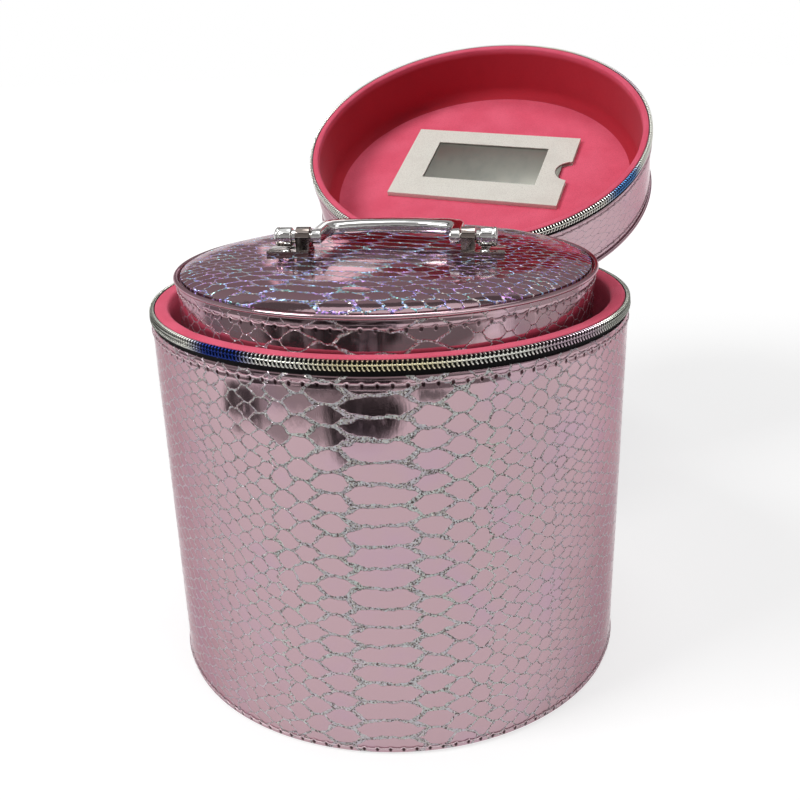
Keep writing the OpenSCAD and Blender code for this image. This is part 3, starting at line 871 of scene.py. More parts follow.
def repeat(bm: bmesh.types.BMesh, count: int, sweep: float) -> None:
    """Repeats everything in a mesh round the upright axis.

    Args:
        bm: The mesh.
        count: How many there are at the end.
        sweep: The angle from the first to the last, in degrees.
    """
    bmesh.ops.spin(bm, geom=list(bm.verts) + list(bm.edges) + list(bm.faces), cent=(0, 0, 0),
                   axis=(0, 0, 1), angle=math.radians(sweep), steps=count - 1, use_duplicate=True)


def ripple(bm: bmesh.types.BMesh, size: float, height: float, where: Callable[[Vector], float]) -> None:
    """Pushes the points of a mesh in and out a little, as hand-covered work is.

    Args:
        bm: The mesh, about the upright axis.
        size: The length of a ripple, in millimetres.
        height: The most it moves a point.
        where: Gives the share of it at a point.
    """
    bm.normal_update()
    moves = [(v, v.normal * noise.noise(v.co / (size * MM)) * height * MM * where(v.co)) for v in bm.verts]
    for vert, move in moves:
        vert.co += move


@dataclass
class Maker:
    """Turns finished meshes into named pieces and counts them."""

    made: list[str] = field(default_factory=list)

    def piece(self, bm: bmesh.types.BMesh, name: str, finish: Finish, place: Matrix,
              replaces: Sequence[str] = (), body: str | None = None,
              crease: float = 40.0) -> bpy.types.Object:
        """Puts a mesh in its place as a piece.

        Args:
            bm: The mesh, in its sub-assembly's frame; it is used up.
            name: The piece's name.
            finish: What it is covered with.
            place: The sub-assembly's frame.
            replaces: The CAD nodes that it stands for.
            body: The body that it rides on; the first replaced node's when left out, none when empty.
            crease: The angle above which an edge stays sharp, in degrees.

        Returns:
            The new object.
        """
        bmesh.ops.transform(bm, matrix=place, verts=bm.verts)
        mesh = finished(bm, name)
        mesh.shade_smooth()
        mesh.set_sharp_from_angle(angle=math.radians(crease))
        mesh.materials.append(finish.material())
        obj = set_down(name, mesh)
        if replaces:
            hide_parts(*replaces)
        if body != "":
            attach(obj, body or body_of_node(replaces[0]))
        self.made.append(name)
        LOG.info("%-28s %6d faces", name, len(mesh.polygons))
        return obj

    def softened(self, node: str, name: str, finish: Finish, edge: float,
                 segments: int = 2) -> bpy.types.Object:
        """Stands for a hard CAD node with its edges broken.

        Args:
            node: The CAD node.
            name: The new piece's name.
            finish: What it is covered with.
            edge: The width of the broken edge.
            segments: How round the broken edge is.

        Returns:
            The new object.
        """
        bm = bmesh.new()
        bm.from_mesh(frame["nodes"][node].data)
        bmesh.ops.remove_doubles(bm, verts=bm.verts, dist=2e-6)
        bmesh.ops.dissolve_limit(bm, angle_limit=math.radians(0.5), verts=bm.verts, edges=bm.edges)
        sharp = [e for e in bm.edges if len(e.link_faces) == 2 and e.calc_face_angle(0.0) > math.radians(38)]
        bmesh.ops.bevel(bm, geom=sharp, offset=edge * MM, offset_type="OFFSET", segments=segments,
                        profile=0.5, affect="EDGES", clamp_overlap=True, material=-1)
        bmesh.ops.triangulate(bm, faces=[f for f in bm.faces if len(f.verts) > 4])
        return self.piece(bm, name, finish, Matrix.Identity(4), (node,), crease=32.0)


# ---------------------------------------------------------------------------
# Zip, seams and hinge
# ---------------------------------------------------------------------------


@dataclass
class Seam:
    """A row of stitches round a drum, each a short bow of thread between two needle holes.

    Attributes:
        radius: Radius of the surface that it is sewn on.
        height: Its height from the meeting plane.
        start: Where a hole lies, in degrees from +X.
    """

    radius: float
    height: float
    start: float

    @property
    def count(self) -> int:
        """How many stitches go round."""
        return round(math.tau * self.radius / STITCH)

    @property
    def true_pitch(self) -> float:
        """The pitch that closes the round."""
        return math.tau * self.radius / self.count

    def mesh(self) -> bmesh.types.BMesh:
        """The stitches, about the upright axis."""
        bm = bmesh.new()
        half = 180 / self.count
        bow = ((0.5, 0.42, 0.0), (0.74, 0.45, 0.4), (0.95, 0.3, 0.75), (1.0, -0.25, 0.15))
        line = []
        for share, lift, rise in [(-share, lift, rise) for share, lift, rise in reversed(bow)] + list(bow):
            angle = math.radians(self.start + half + share * half)
            radius = self.radius + lift
            line.append((radius * math.cos(angle), radius * math.sin(angle), self.height + rise))
        tube(bm, line, 0.27, 5)
        bmesh.ops.recalc_face_normals(bm, faces=bm.faces)
        repeat(bm, self.count, 360 - 360 / self.count)
        return bm


@dataclass
class ZipRow:
    """One half of a zip: the woven tape and the coil of loops sewn along its edge.

    Attributes:
        label: The case's name.
        half: Which side of the meeting plane it is on.
        radius: Radius of the wall's outer face.
        middle: The belly line that its sheet starts from, in degrees.
        gap: Half the gap between the two rows.
        height: Height of the row of loops.
        end: Half angle between the row's two ends, at the rear.
        pitch: Distance between two loops.
        tape_depth: How far the tape goes from the meeting plane.
        tape_in: Depth of the tape's inner face in the wall.
        tape_out: Depth of its outer face.
    """

    label: str
    half: Half
    radius: float
    middle: float
    gap: float = 0.4
    height: float = 5.2
    end: float = 22.6
    pitch: float = 2.0
    tape_depth: float = 18.0
    tape_in: float = 1.6
    tape_out: float = 1.0

    def _flip(self, points: Sequence[Point]) -> list[Point]:
        """Turns depths from the meeting plane into heights."""
        return [(self.radius + r, z * -self.half.value) for r, z in points]

    def tape(self) -> bmesh.types.BMesh:
        """The woven tape: a thin band with a folded edge under the coil."""
        edge = -0.9
        corners = [(-self.tape_in, -self.tape_depth), (-self.tape_out, -self.tape_depth),
                   (-self.tape_out, edge), (-self.tape_in, edge)]
        bm = turned(rounded(self._flip(corners), (0.1, 0.1, 0.25, 0.25), 3), 90 + self.end - 1,
                    362 - 2 * self.end, 160)
        wrap_sheet(bm, self.radius, self.middle)
        return bm

    def coil(self) -> bmesh.types.BMesh:
        """The loops: each rises, dips where the seam holds it, and bends over at the head."""
        sweep = 360 - 2 * self.end - 1.6
        count = round(math.radians(sweep) * self.radius / self.pitch)
        lean = 0.55 / self.radius
        top, foot = -self.gap - 0.1, -self.gap - self.height + 0.35
        path = ((-1.3, foot + 0.5, 1.5), (0.2, foot + 0.2, 1.3), (0.5, foot + 0.5, 1.0),
                (0.5, foot + 1.2, 0.6), (0.15, foot + 2.1, 0.4), (0.1, foot + 2.6, 0.45),
                (0.4, foot + 3.3, 0.5), (0.35, top - 0.75, 0.55), (-0.3, top - 0.5, 0.6),
                (-1.3, top - 0.62, 0.6))
        bm = bmesh.new()
        start = math.radians(90 + self.end + 0.8)
        line = []
        for out, depth, share in path:
            angle = start + lean * (share - 0.5) * 2
            radius = self.radius + out
            line.append((radius * math.cos(angle), radius * math.sin(angle), depth * -self.half.value))
        tube(bm, line, 0.47, 6)
        bmesh.ops.recalc_face_normals(bm, faces=bm.faces)
        repeat(bm, count, sweep)
        thick, level = 0.36, (foot + 2.35) * -self.half.value
        cord = [(self.radius + 0.05 + thick * math.cos(a), level + thick * math.sin(a))
                for a in (math.tau * i / 8 for i in range(8))]
        absorb(bm, turned(cord, 90 + self.end + 0.6, sweep + 0.4, 160))
        stop = rounded(self._flip([(-1, -0.4), (1.1, -0.4), (1.1, -5.6), (-1, -5.6)]), (0.3,) * 4, 2)
        for side in (-1, 1):
            absorb(bm, turned(stop, 90 + side * (self.end - 0.7) - 0.6, 1.2, 3))
        wrap_sheet(bm, self.radius, self.middle)
        return bm

    def build(self, maker: Maker, place: Matrix) -> None:
        """Makes the two pieces.

        Args:
            maker: The maker of pieces.
            place: The frame of the meeting plane.
        """
        level = self.half.name.lower()
        finish = COIL_OPEN_LID if (self.label, self.half) == ("outer", Half.UPPER) else COIL
        maker.piece(self.tape(), f"{self.label}_{level}_zip_tape", TAPE, place,
                    (f"{self.label}_{level}_tape",))
        maker.piece(self.coil(), f"{self.label}_{level}_zip_loops", finish, place,
                    (f"{self.label}_{level}_coil",), crease=70)


@dataclass
class FabricHinge:
    """The strip of foil-faced fabric that joins lid and drum between the zip's two ends.

    Attributes:
        label: The case's name.
        radius: Radius at which the strip lies.
        axis: The lid's turning line: how far behind the middle it lies.
        opened: How far the lid stands open, in degrees.
        half: Half angle that the strip covers.
        reach: How far it goes under each cover.
        slack: Half height of the part that bends.
        thickness: Thickness of the strip.
    """

    label: str
    radius: float
    axis: float
    opened: float
    half: float = 21.0
    reach: float = 17.5
    slack: float = 1.5
    thickness: float = 0.6

    def _strip(self, low: float, high: float) -> bmesh.types.BMesh:
        """The strip between two angles from the rear, as it lies with the lid at rest."""
        bm = bmesh.new()
        rows, bend = 12, 10
        total = 2 * rows + bend
        columns = max(2, round((high - low) / 1.5))
        bmesh.ops.create_grid(bm, x_segments=columns, y_segments=total, size=1)
        for vert in bm.verts:
            across = math.radians(90 - (low + (high - low) * (vert.co.x + 1) / 2))
            step = round((vert.co.y + 1) / 2 * total)
            share = min(max((step - rows) / bend, 0), 1)
            if step < rows:
                height = -self.slack - (self.reach - self.slack) * (rows - step) / rows
            elif step > rows + bend:
                height = self.slack + (self.reach - self.slack) * (step - rows - bend) / rows
            else:
                height = self.slack * (2 * share - 1)
            radius = self.radius + 0.75 * max(0.0, 1 - (abs(height) / 8.5) ** 4)
            shut = Vector((radius * math.cos(across), radius * math.sin(across), height))
            vert.co = self._opened(shut, share)
        bmesh.ops.scale(bm, vec=(MM,) * 3, verts=bm.verts)
        bmesh.ops.recalc_face_normals(bm, faces=bm.faces)
        bmesh.ops.solidify(bm, geom=list(bm.faces), thickness=self.thickness * MM)
        wrap_sheet(bm, self.radius, 90)
        return bm

    def _opened(self, spot: Vector, share: float) -> Vector:
        """Turns a point of the shut strip with its share of the lid's opening."""
        centre = Vector((0, self.axis, 0))
        turn = Matrix.Rotation(math.radians(-self.opened * share), 3, "X")
        return centre + turn @ (spot - centre)

    def build(self, maker: Maker, place: Matrix, bodies: tuple[str, str]) -> None:
        """Makes the strip in lengths, each bending about its own part of the fold.

        Args:
            maker: The maker of pieces.
            place: The frame of the meeting plane.
            bodies: The drum's body and the lid's; not used.
        """
        nodes = (f"{self.label}_lower_hinge", f"{self.label}_upper_hinge")
        cuts = (-self.half, self.half)
        if self.opened:
            cuts = (-self.half, -18, -15, -12, -9, -6, 6, 9, 12, 15, 18, self.half)
        for index, (low, high) in enumerate(zip(cuts, cuts[1:])):
            obj = maker.piece(self._strip(low - 0.05, high + 0.05), f"{self.label}_hinge_strip_{index + 1}",
                              PLAIN_FOIL, place, nodes, body="", crease=80)
            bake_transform(obj)


# ---------------------------------------------------------------------------
# Drum and lid
# ---------------------------------------------------------------------------


@dataclass
class Shell:
    """What a drum and a lid share: a covered wall with two seams, a lining and half of a zip.

    Attributes:
        label: The case's name.
        place: The frame whose Z = 0 is the meeting plane.
        radius: Radius of the wall's outer face.
        reach: From the meeting plane to the underside or to the piping.
        middle: Where the belly line runs down the front, in degrees.
        bold: How strongly the scales of the wall are outlined.
        board: From the wall's outer face to the board's inner one.
    """

    label: str
    place: Matrix
    radius: float
    reach: float
    middle: float
    bold: float
    board: float = 4.7

    def _put(self, maker: Maker, bm: bmesh.types.BMesh, name: str, finish: Finish, slot: str, node: str,
             crease: float = 60.0) -> bpy.types.Object:
        """Makes a piece that stands for one node of this case.

        Args:
            maker: The maker of pieces.
            bm: The mesh, in this shell's frame.
            name: The piece's name, without the case's.
            finish: What it is covered with.
            slot: The record's material slot; not used.
            node: The CAD node's name, without the case's.
            crease: The angle above which an edge stays sharp, in degrees.

        Returns:
            The new object.
        """
        return maker.piece(bm, f"{self.label}_{name}", finish, self.place, (f"{self.label}_{node}",),
                           crease=crease)

    def _seam(self, height: float) -> Seam:
        """A seam in the wall's sewn groove."""
        return Seam(self.radius - 0.1, height, self.middle)

    def seams(self) -> dict[str, Seam]:
        """The wall's two seams; drum and lid each have their own."""
        raise NotImplementedError

    def _foil(self, name: str, rainbow: float, lean: float = 0.0) -> ScaleFoil:
        """The wall's foil, pricked by the needle along both seams."""
        seams = list(self.seams().values())
        return ScaleFoil(f"foil_{self.label}_{name}", stitch_rows=tuple(seam.height for seam in seams),
                         stitch_pitch=seams[0].true_pitch, belly=math.pi * self.radius, rainbow=rainbow,
                         bold=self.bold, lean=lean)

    def _inside(self, lining: float, still: float) -> Callable[[Vector], float]:
        """Tells a ripple to work on the lining's visible side and to leave a share elsewhere."""
        inner = (self.radius - self.board - lining + 0.4) * MM
        return lambda co: 1.0 if math.hypot(co.x, co.y) < inner else still

    def _sew(self, maker: Maker, wall: str, half: Half) -> None:
        """Makes the stitches of a wall and its half of the zip."""
        body = body_of_node(f"{self.label}_{wall}")
        for name, seam in self.seams().items():
            maker.piece(seam.mesh(), f"{self.label}_{name}_stitches", ROSE_THREAD, self.place,
                        body=body, crease=80)
        ZipRow(self.label, half, self.radius, self.middle).build(maker, self.place)


@dataclass
class Drum(Shell):
    """The lower part of a case: covered wall, base, lining and its half of the zip.

    Attributes:
        roll: How far the lining's padded rim bulges inwards.
        lining: Thickness of the velvet wall.
        floor_up: Height of the padded floor over the underside.
    """

    roll: float = 2.0
    lining: float = 2.0
    floor_up: float = 7.0

    def seams(self) -> dict[str, Seam]:
        """The seam under the rolled edge and the one above the foot."""
        return {"rim": self._seam(-10.9), "foot": self._seam(3.1 - self.reach)}

    def _cover(self, maker: Maker) -> None:
        """The foil wall with its rolled top edge, sewn groove and turned foot."""
        r, foot = self.radius, -self.reach + 0.5
        outline = [(r - 1, -7.9), (r - 0.7, -7.6), (r - 0.25, -7.75), (r - 0.02, -8.3), (r + 0.04, -9.4),
                   (r - 0.16, -10.9), (r - 0.02, -12.2), (r, -14), (r, foot + 6), (r - 0.02, foot + 3.6),
                   (r - 0.18, foot + 2.6), (r - 0.02, foot + 1.6), (r - 0.1, foot + 0.4), (r - 0.5, foot),
                   (r - 1, foot)]
        bm = turned(divided(outline, 7.0), 0, 360, 224)
        wrap_sheet(bm, r, self.middle)
        ripple(bm, 46.0, 0.14, lambda co: 1.0 if (foot + 4) * MM < co.z < -13 * MM else 0.25)
        self._put(maker, bm, "wall_skin", self._foil("wall", 0.14), "shell", "wall_cover", 40)

    def _base(self, maker: Maker) -> None:
        """The base skin, slightly dished so that it stands on its rim."""
        r, low = self.radius, -self.reach
        outline = [(0, low + 1), (0, low + 0.25), (r * 0.9, low + 0.12), (r - 6, low), (r - 2.2, low),
                   (r - 1.1, low + 0.5), (r - 1.05, low + 1)]
        bm = turned(outline, 0, 360, 160)
        flat_sheet(bm, (0, 0), 0)
        self._put(maker, bm, "base_skin", ScaleFoil(f"foil_{self.label}_base", rainbow=0.1), "shell",
                  "base_cover", 40)

    def _lining(self, maker: Maker) -> None:
        """The velvet wall, rolled over the rim, and the padded floor."""
        r, low = self.radius, -self.reach + self.floor_up
        outer = r - self.board
        inner = outer - self.lining
        outline = rounded([(outer, low), (outer, -2), (r - 3.8, -2), (r - 3.8, -9), (r - 3.02, -9),
                           (r - 3.02, -3.4), (r - 1.75, -2.8), (r - 1.75, -0.5), (inner - self.roll, -0.5),
                           (inner - self.roll, -5.5), (inner, -15), (inner, low)],
                          (0, 0, 0, 0, 0.2, 0.5, 0.5, 1.2, 2.6, 3.0, 6.0, 0.6), 6)
        bm = turned(divided(outline, 8.0), 90, 360, 160)
        ripple(bm, 16.0, 0.22, self._inside(self.lining, 0.1))
        self._put(maker, bm, "wall_velvet", VELVET, "velvet", "wall_lining")
        edge, bottom = outer - 0.1, low - 3
        outline = [(0, bottom), (0, low), (edge - 18, low - 0.05), (edge - 8, low - 0.3),
                   (edge - 2.2, low - 0.9), (edge - 2.2, bottom)]
        self._put(maker, turned(outline, 90, 360, 128), "floor_velvet", VELVET, "velvet", "floor_lining")

    def build(self, maker: Maker) -> None:
        """Makes every piece of the drum."""
        self._cover(maker)
        self._base(maker)
        self._lining(maker)
        self._sew(maker, "wall_cover", Half.LOWER)


@dataclass
class Lid(Shell):
    """The upper part of a case: covered wall, piped and padded top, lining and its half of the zip.

    Attributes:
        top_belly: A point of the belly line on the top.
        top_turn: The angle of the scales' long side on the top, in degrees.
        lean: How far the wall's lower part faces upwards, as a slope.
        rise: How far the padded top rises over the piping.
        lining: Thickness of the velvet wall.
        cove: Radius of the cove between wall and ceiling.
    """

    top_belly: Point = (0.0, 0.0)
    top_turn: float = 0.0
    lean: float = 0.0
    rise: float = 4.6
    lining: float = 1.3
    cove: float = 7.0

    def seams(self) -> dict[str, Seam]:
        """The seam above the zip and the one below the piping."""
        return {"lid_zip": self._seam(10.9), "lid_piping": self._seam(self.reach - 5.2)}

    def _cover(self, maker: Maker) -> None:
        """The foil wall of the lid."""
        r, h = self.radius, self.reach - 1
        outline = [(r - 1, 8.0), (r - 0.35, 7.95), (r - 0.02, 8.5), (r + 0.02, 9.6), (r - 0.16, 10.9),
                   (r - 0.02, 12.2), (r, 14), (r, h - 7.8), (r - 0.02, h - 5.4), (r - 0.16, h - 4.2),
                   (r, h - 3.0), (r + 0.1, h - 1.0), (r - 0.2, h - 0.1), (r - 1, h - 0.1)]
        bm = turned(divided(outline, 6.0), 0, 360, 224)
        wrap_sheet(bm, r, self.middle)
        ripple(bm, 30.0, 0.16, lambda co: 1.0 if 13 * MM < co.z < (h - 5) * MM else 0.3)
        foil = self._foil("lid_wall", 0.2, self.lean)
        self._put(maker, bm, "lid_wall_skin", foil, "shell", "lid_wall_cover", 40)

    def _piping(self, maker: Maker) -> None:
        """The round bead between wall and top, with the flange it is sewn in by."""
        r, h, thick = self.radius, self.reach, 1.15
        turns = (math.radians(215 - 340 * i / 20) for i in range(21))
        bead = [(r + 0.5 + thick * math.cos(a), h - 0.1 + thick * math.sin(a)) for a in turns]
        bm = turned(bead + [(r - 1.7, h - 0.25), (r - 1.7, h - 0.9)], 0, 360, 224)
        wrap_sheet(bm, r, self.middle)
        self._put(maker, bm, "lid_bead", PLAIN_FOIL, "shell", "lid_piping")

    def _top(self, maker: Maker) -> None:
        """The padded top: a taut cushion that pulls in along the piping."""
        r, h = self.radius - 1.8, self.reach
        skin, start = 1.2, 62
        level = h - 1 + self.rise + 1.4
        crown = [(0.0, level), (40, level)]
        for i in range(15):
            t = i / 14
            crown.append((start + (r - start) * t,
                          h + 1.4 + (self.rise - 1) * (1 - t ** 4.2) - 0.3 * t ** 14))
        under = [(r, h - 0.95), (r - 1.4, h - 0.9)]
        under += [(out - 1.3, z - skin) for out, z in reversed(crown[2:-1])]
        under += [(40, level - skin), (0, level - skin)]
        bm = turned(divided(crown + under, 8.0), 0, 360, 256)
        flat_sheet(bm, self.top_belly, self.top_turn)
        edge = r * MM

        def pull(co: Vector) -> float:
            out = math.hypot(co.x, co.y) / edge
            return 0.25 + 0.75 * max(0.0, 1 - abs(out - 0.86) / 0.14)

        ripple(bm, 14.0, 0.3, pull)
        ripple(bm, 44.0, 0.3, lambda co: 1.0)
        foil = ScaleFoil(f"foil_{self.label}_top", belly=330, rainbow=0.8, speck=0.85, bold=1.15,
                         sparkle=1.3)
        self._put(maker, bm, "padded_top", foil, "shell", "lid_top_cover")

    def _lining(self, maker: Maker) -> None:
        """The velvet wall with its cove, and the lined ceiling."""
        r, h, cove = self.radius, self.reach - 6, self.cove
        outer = r - self.board
        inner = outer - self.lining
        outline = [(outer, h), (outer, 2), (r - 3.8, 2), (r - 3.8, 9), (r - 3.02, 9)]
        outline += rounded([(r - 3.02, 9), (r - 3.02, 3.4), (r - 1.75, 2.8), (r - 1.75, 0.5), (inner, 0.5),
                            (inner, 9)], (0, 0.5, 0.5, 1.0, 1.9, 0), 6)[1:]
        turns = (math.radians(90 * i / 8) for i in range(9))
        outline += [(inner - cove * (1 - math.cos(a)), h - cove * (1 - math.sin(a))) for a in turns]
        bm = turned(divided(outline, 6.0), 90, 360, 160)
        wrap_sheet(bm, r, 90)
        ripple(bm, 18.0, 0.25, self._inside(self.lining, 0.2))
        self._put(maker, bm, "lid_wall_velvet", VELVET_SHADED_WALL, "velvet", "lid_wall_lining")
        bm = turned(divided([(0, h), (0, h + 2), (outer, h + 2), (outer, h)], 12), 90, 360, 128)
        self._put(maker, bm, "lid_ceiling_velvet", VELVET, "velvet", "lid_ceiling")

    def build(self, maker: Maker) -> None:
        """Makes every piece of the lid."""
        self._cover(maker)
        self._piping(maker)
        self._top(maker)
        self._lining(maker)
        self._sew(maker, "lid_wall_cover", Half.UPPER)


# ---------------------------------------------------------------------------
# Handles, sliders and mirror pocket
# ---------------------------------------------------------------------------


@dataclass
class CarryHandle:
    """A plated folding handle: brackets riveted to a lid's top, pivots with knobs, and the grip.

    Attributes:
        label: The case's name.
        place: The frame whose X axis is the pivot line, with the grip lying along +Y.
        half: Half the grip's length over its arms.
        reach: From the pivot line to the far edge of the bar.
        bar: Width of the bar at its ends.
        arm: Width of an arm.
        shoulder: Radius of the outer corners.
        arch: How far the finger opening rises towards the middle.
        waist: Depth of the two waists in the bar's far edge.
        thick: Thickness of the grip.
    """

    label: str
    place: Matrix
    half: float
    reach: float = 38.0
    bar: float = 11.0
    arm: float = 5.6
    shoulder: float = 15.0
    arch: float = 8.0
    waist: float = 1.6
    thick: float = 7.0

    def _edges(self) -> list[tuple[Point, Point, float]]:
        """Inner point, outer point and share of the thickness along the right half of the grip."""
        inside, near, start_of_bar = self.half - self.arm, self.reach - self.bar, 26.0
        curve = (inside ** 2 + self.arch ** 2) / 2 / self.arch

        def opening(x: float) -> float:
            return near - curve + math.sqrt(curve ** 2 - x ** 2)

        def rim(x: float) -> float:
            away = min(1.0, abs(x - 19) / 8)
            return self.reach - self.waist * max(0.0, math.cos(math.pi / 2 * away)) ** 1.5

        found = []
        for i in range(6):
            turn = math.pi / 2 * i / 5
            depth = -self.thick / 2 * math.cos(turn) * 0.99
            found.append(((inside, depth), (self.half, depth), max(math.sin(turn), 0.12)))
        found += [((inside, depth), (self.half, depth * 1.4), 1.0) for depth in (4.0, 8.0, 12.0)]
        corner, start = Vector((inside, opening(inside) + 1.5)), Vector((inside, 14.0))
        finish = Vector((start_of_bar, opening(start_of_bar)))
        for i in range(13):
            t, turn = i / 12, math.radians(90 * i / 12)
            inner = start * (1 - t) ** 2 + corner * 2 * t * (1 - t) + finish * t ** 2
            across = self.half - self.shoulder + self.shoulder * math.cos(turn)
            up = self.reach - self.shoulder + self.shoulder * math.sin(turn)
            found.append(((inner.x, inner.y), (across, min(up, rim(across))), 1.0))
        for i in range(1, 19):
            t = 1 - i / 18
            across = (self.half - self.shoulder) * t
            found.append(((start_of_bar * t, opening(start_of_bar * t)), (across, rim(across)), 1.0))
        return found

    def _grip(self) -> bmesh.types.BMesh:
        """The cast grip as one smooth band of rounded sections."""
        right = self._edges()
        left = [((-a[0], a[1]), (-b[0], b[1]), share) for a, b, share in reversed(right[:-1])]
        bm = bmesh.new()
        rings, sides = [], 24
        for inner, outer, share in right + left:
            middle = (Vector(inner) + Vector(outer)) / 2
            aside = (Vector(outer) - Vector(inner)) / 2
            square = 0.3 if abs(middle.x) > self.half - self.arm else 0.6
            ring = []
            for i in range(sides):
                angle = math.tau * (i + 0.5) / sides
                c, d = math.cos(angle), math.sin(angle)
                spot = middle + aside * math.copysign(abs(c) ** square, c)
                lift = math.copysign(abs(d) ** 0.6, d) * self.thick / 2 * share
                ring.append(bm.verts.new((spot.x * MM, spot.y * MM, lift * MM)))
            rings.append(ring)
        for ring, following in zip(rings, rings[1:]):
            for i in range(sides):
                bm.faces.new((ring[i], ring[(i + 1) % sides], following[(i + 1) % sides], following[i]))
        bm.faces.new(rings[0])
        bm.faces.new(rings[-1])
        bmesh.ops.recalc_face_normals(bm, faces=bm.faces)
        return bm

    def build(self, maker: Maker) -> None:
        """Makes the four pieces with polished edges."""
        for part, edge, steps in (("brackets", 0.8, 4), ("rivets", 0.3, 2), ("pivots", 0.35, 2)):
            finish = CHROME_SHADED if part == "brackets" else CHROME
            maker.softened(f"{self.label}_handle_{part}", f"{self.label}_chrome_{part}", finish,
                           edge, steps)
        maker.piece(self._grip(), f"{self.label}_chrome_grip", CHROME, self.place,
                    (f"{self.label}_handle_grip",), crease=70)


@dataclass
class ZipRunner:
    """A slider with its hanging pull.

    Attributes:
        label: The case's name.
        side: Which of the case's two runners it is.
        edge: The width of its broken edges.
    """

    label: str
    side: str
    edge: float = 0.16

    def build(self, maker: Maker) -> None:
        """Makes slider and pull."""
        for part in ("slider", "pull"):
            maker.softened(f"{self.label}_{part}_{self.side}", f"{self.label}_zip_{part}_{self.side}", ZINC,
                           self.edge)


@dataclass
class MirrorPocket:
    """The leatherette sleeve sewn to the lid's ceiling, and the mirror that slides in it.

    Attributes:
        fold: The width of the sleeve's folded edges.
        edge: The width of the mirror's broken edges.
    """

    fold: float = 1.2
    edge: float = 0.25

    def build(self, maker: Maker) -> None:
        """Makes sleeve and mirror."""
        maker.softened("mirror_sleeve", "pocket_sleeve", SLEEVE, self.fold, 4)
        maker.softened("mirror", "pocket_mirror", GLASS, self.edge)


@dataclass
class Core:
    """The hidden carriers: boards and foam keep their solids and get their own materials."""

    finishes: tuple[tuple[str, Finish], ...] = (("_board", BOARD), ("_pad", FOAM))

    def build(self) -> None:
        """Gives each hidden node its material."""
        for name, obj in frame["nodes"].items():
            for ending, finish in self.finishes:
                if name.endswith(ending):
                    obj.data.materials.clear()
                    obj.data.materials.append(finish.material())
                    LOG.info("%-28s dressed", name)


# ---------------------------------------------------------------------------
# Studio
# ---------------------------------------------------------------------------


@dataclass(frozen=True)
class Card:
    """How a card looks that stands in the room and only shows as a reflection in gloss.

    Attributes:
        name: Its name.
        tone: How bright it is; 0 is black.
        cover: The share of light that it stops.
        soft: How far its rim fades out, as a share of its half width; needs a sheet named rim.
        torn: The size of the blotches in it, in millimetres; 0 leaves it even.
        least: Where the blotches start: more of it is open where this is higher.
        squat: How many times wider than high the blotches are.
    """

    name: str
    tone: float
    cover: float = 1.0
    soft: float = 0.0
    torn: float = 0.0
    least: float = 0.24
    squat: float = 3.0

    def stand(self, bm: bmesh.types.BMesh) -> None:
        """Stands the card in the room.

        Args:
            bm: Its mesh, in place; it is used up.
        """
        graph = Graph(bpy.data.materials.new(self.name))
        alpha: Value = self.cover
        if self.torn:
            blotch = graph.cloud(graph.vector("MULTIPLY", graph.place(), (1.0, 1.0, self.squat)), self.torn)
            alpha = graph.calc("MULTIPLY", graph.step(blotch, self.least, self.least + 0.18), self.cover)
        if self.soft:
            across, up, _ = graph.split(graph.vector("ABSOLUTE", graph.sheet("rim")))
            fade = graph.fall(graph.reach(across, up, 3.0), 1.0 - self.soft, 1.0)
            alpha = graph.calc("MULTIPLY", fade, alpha)
        graph.set(base_color=(0, 0, 0, 1), roughness=1.0, specular_ior_level=0.0, emission_strength=1.0,
                  emission_color=(self.tone, self.tone * 0.95, self.tone * 0.95, 1), alpha=alpha)
        mesh = finished(bm, self.name)
        mesh.materials.append(graph.owner)
        obj = set_down(self.name, mesh)
        for kind in ("camera", "diffuse", "shadow", "transmission", "volume_scatter"):
            setattr(obj, f"visible_{kind}", False)


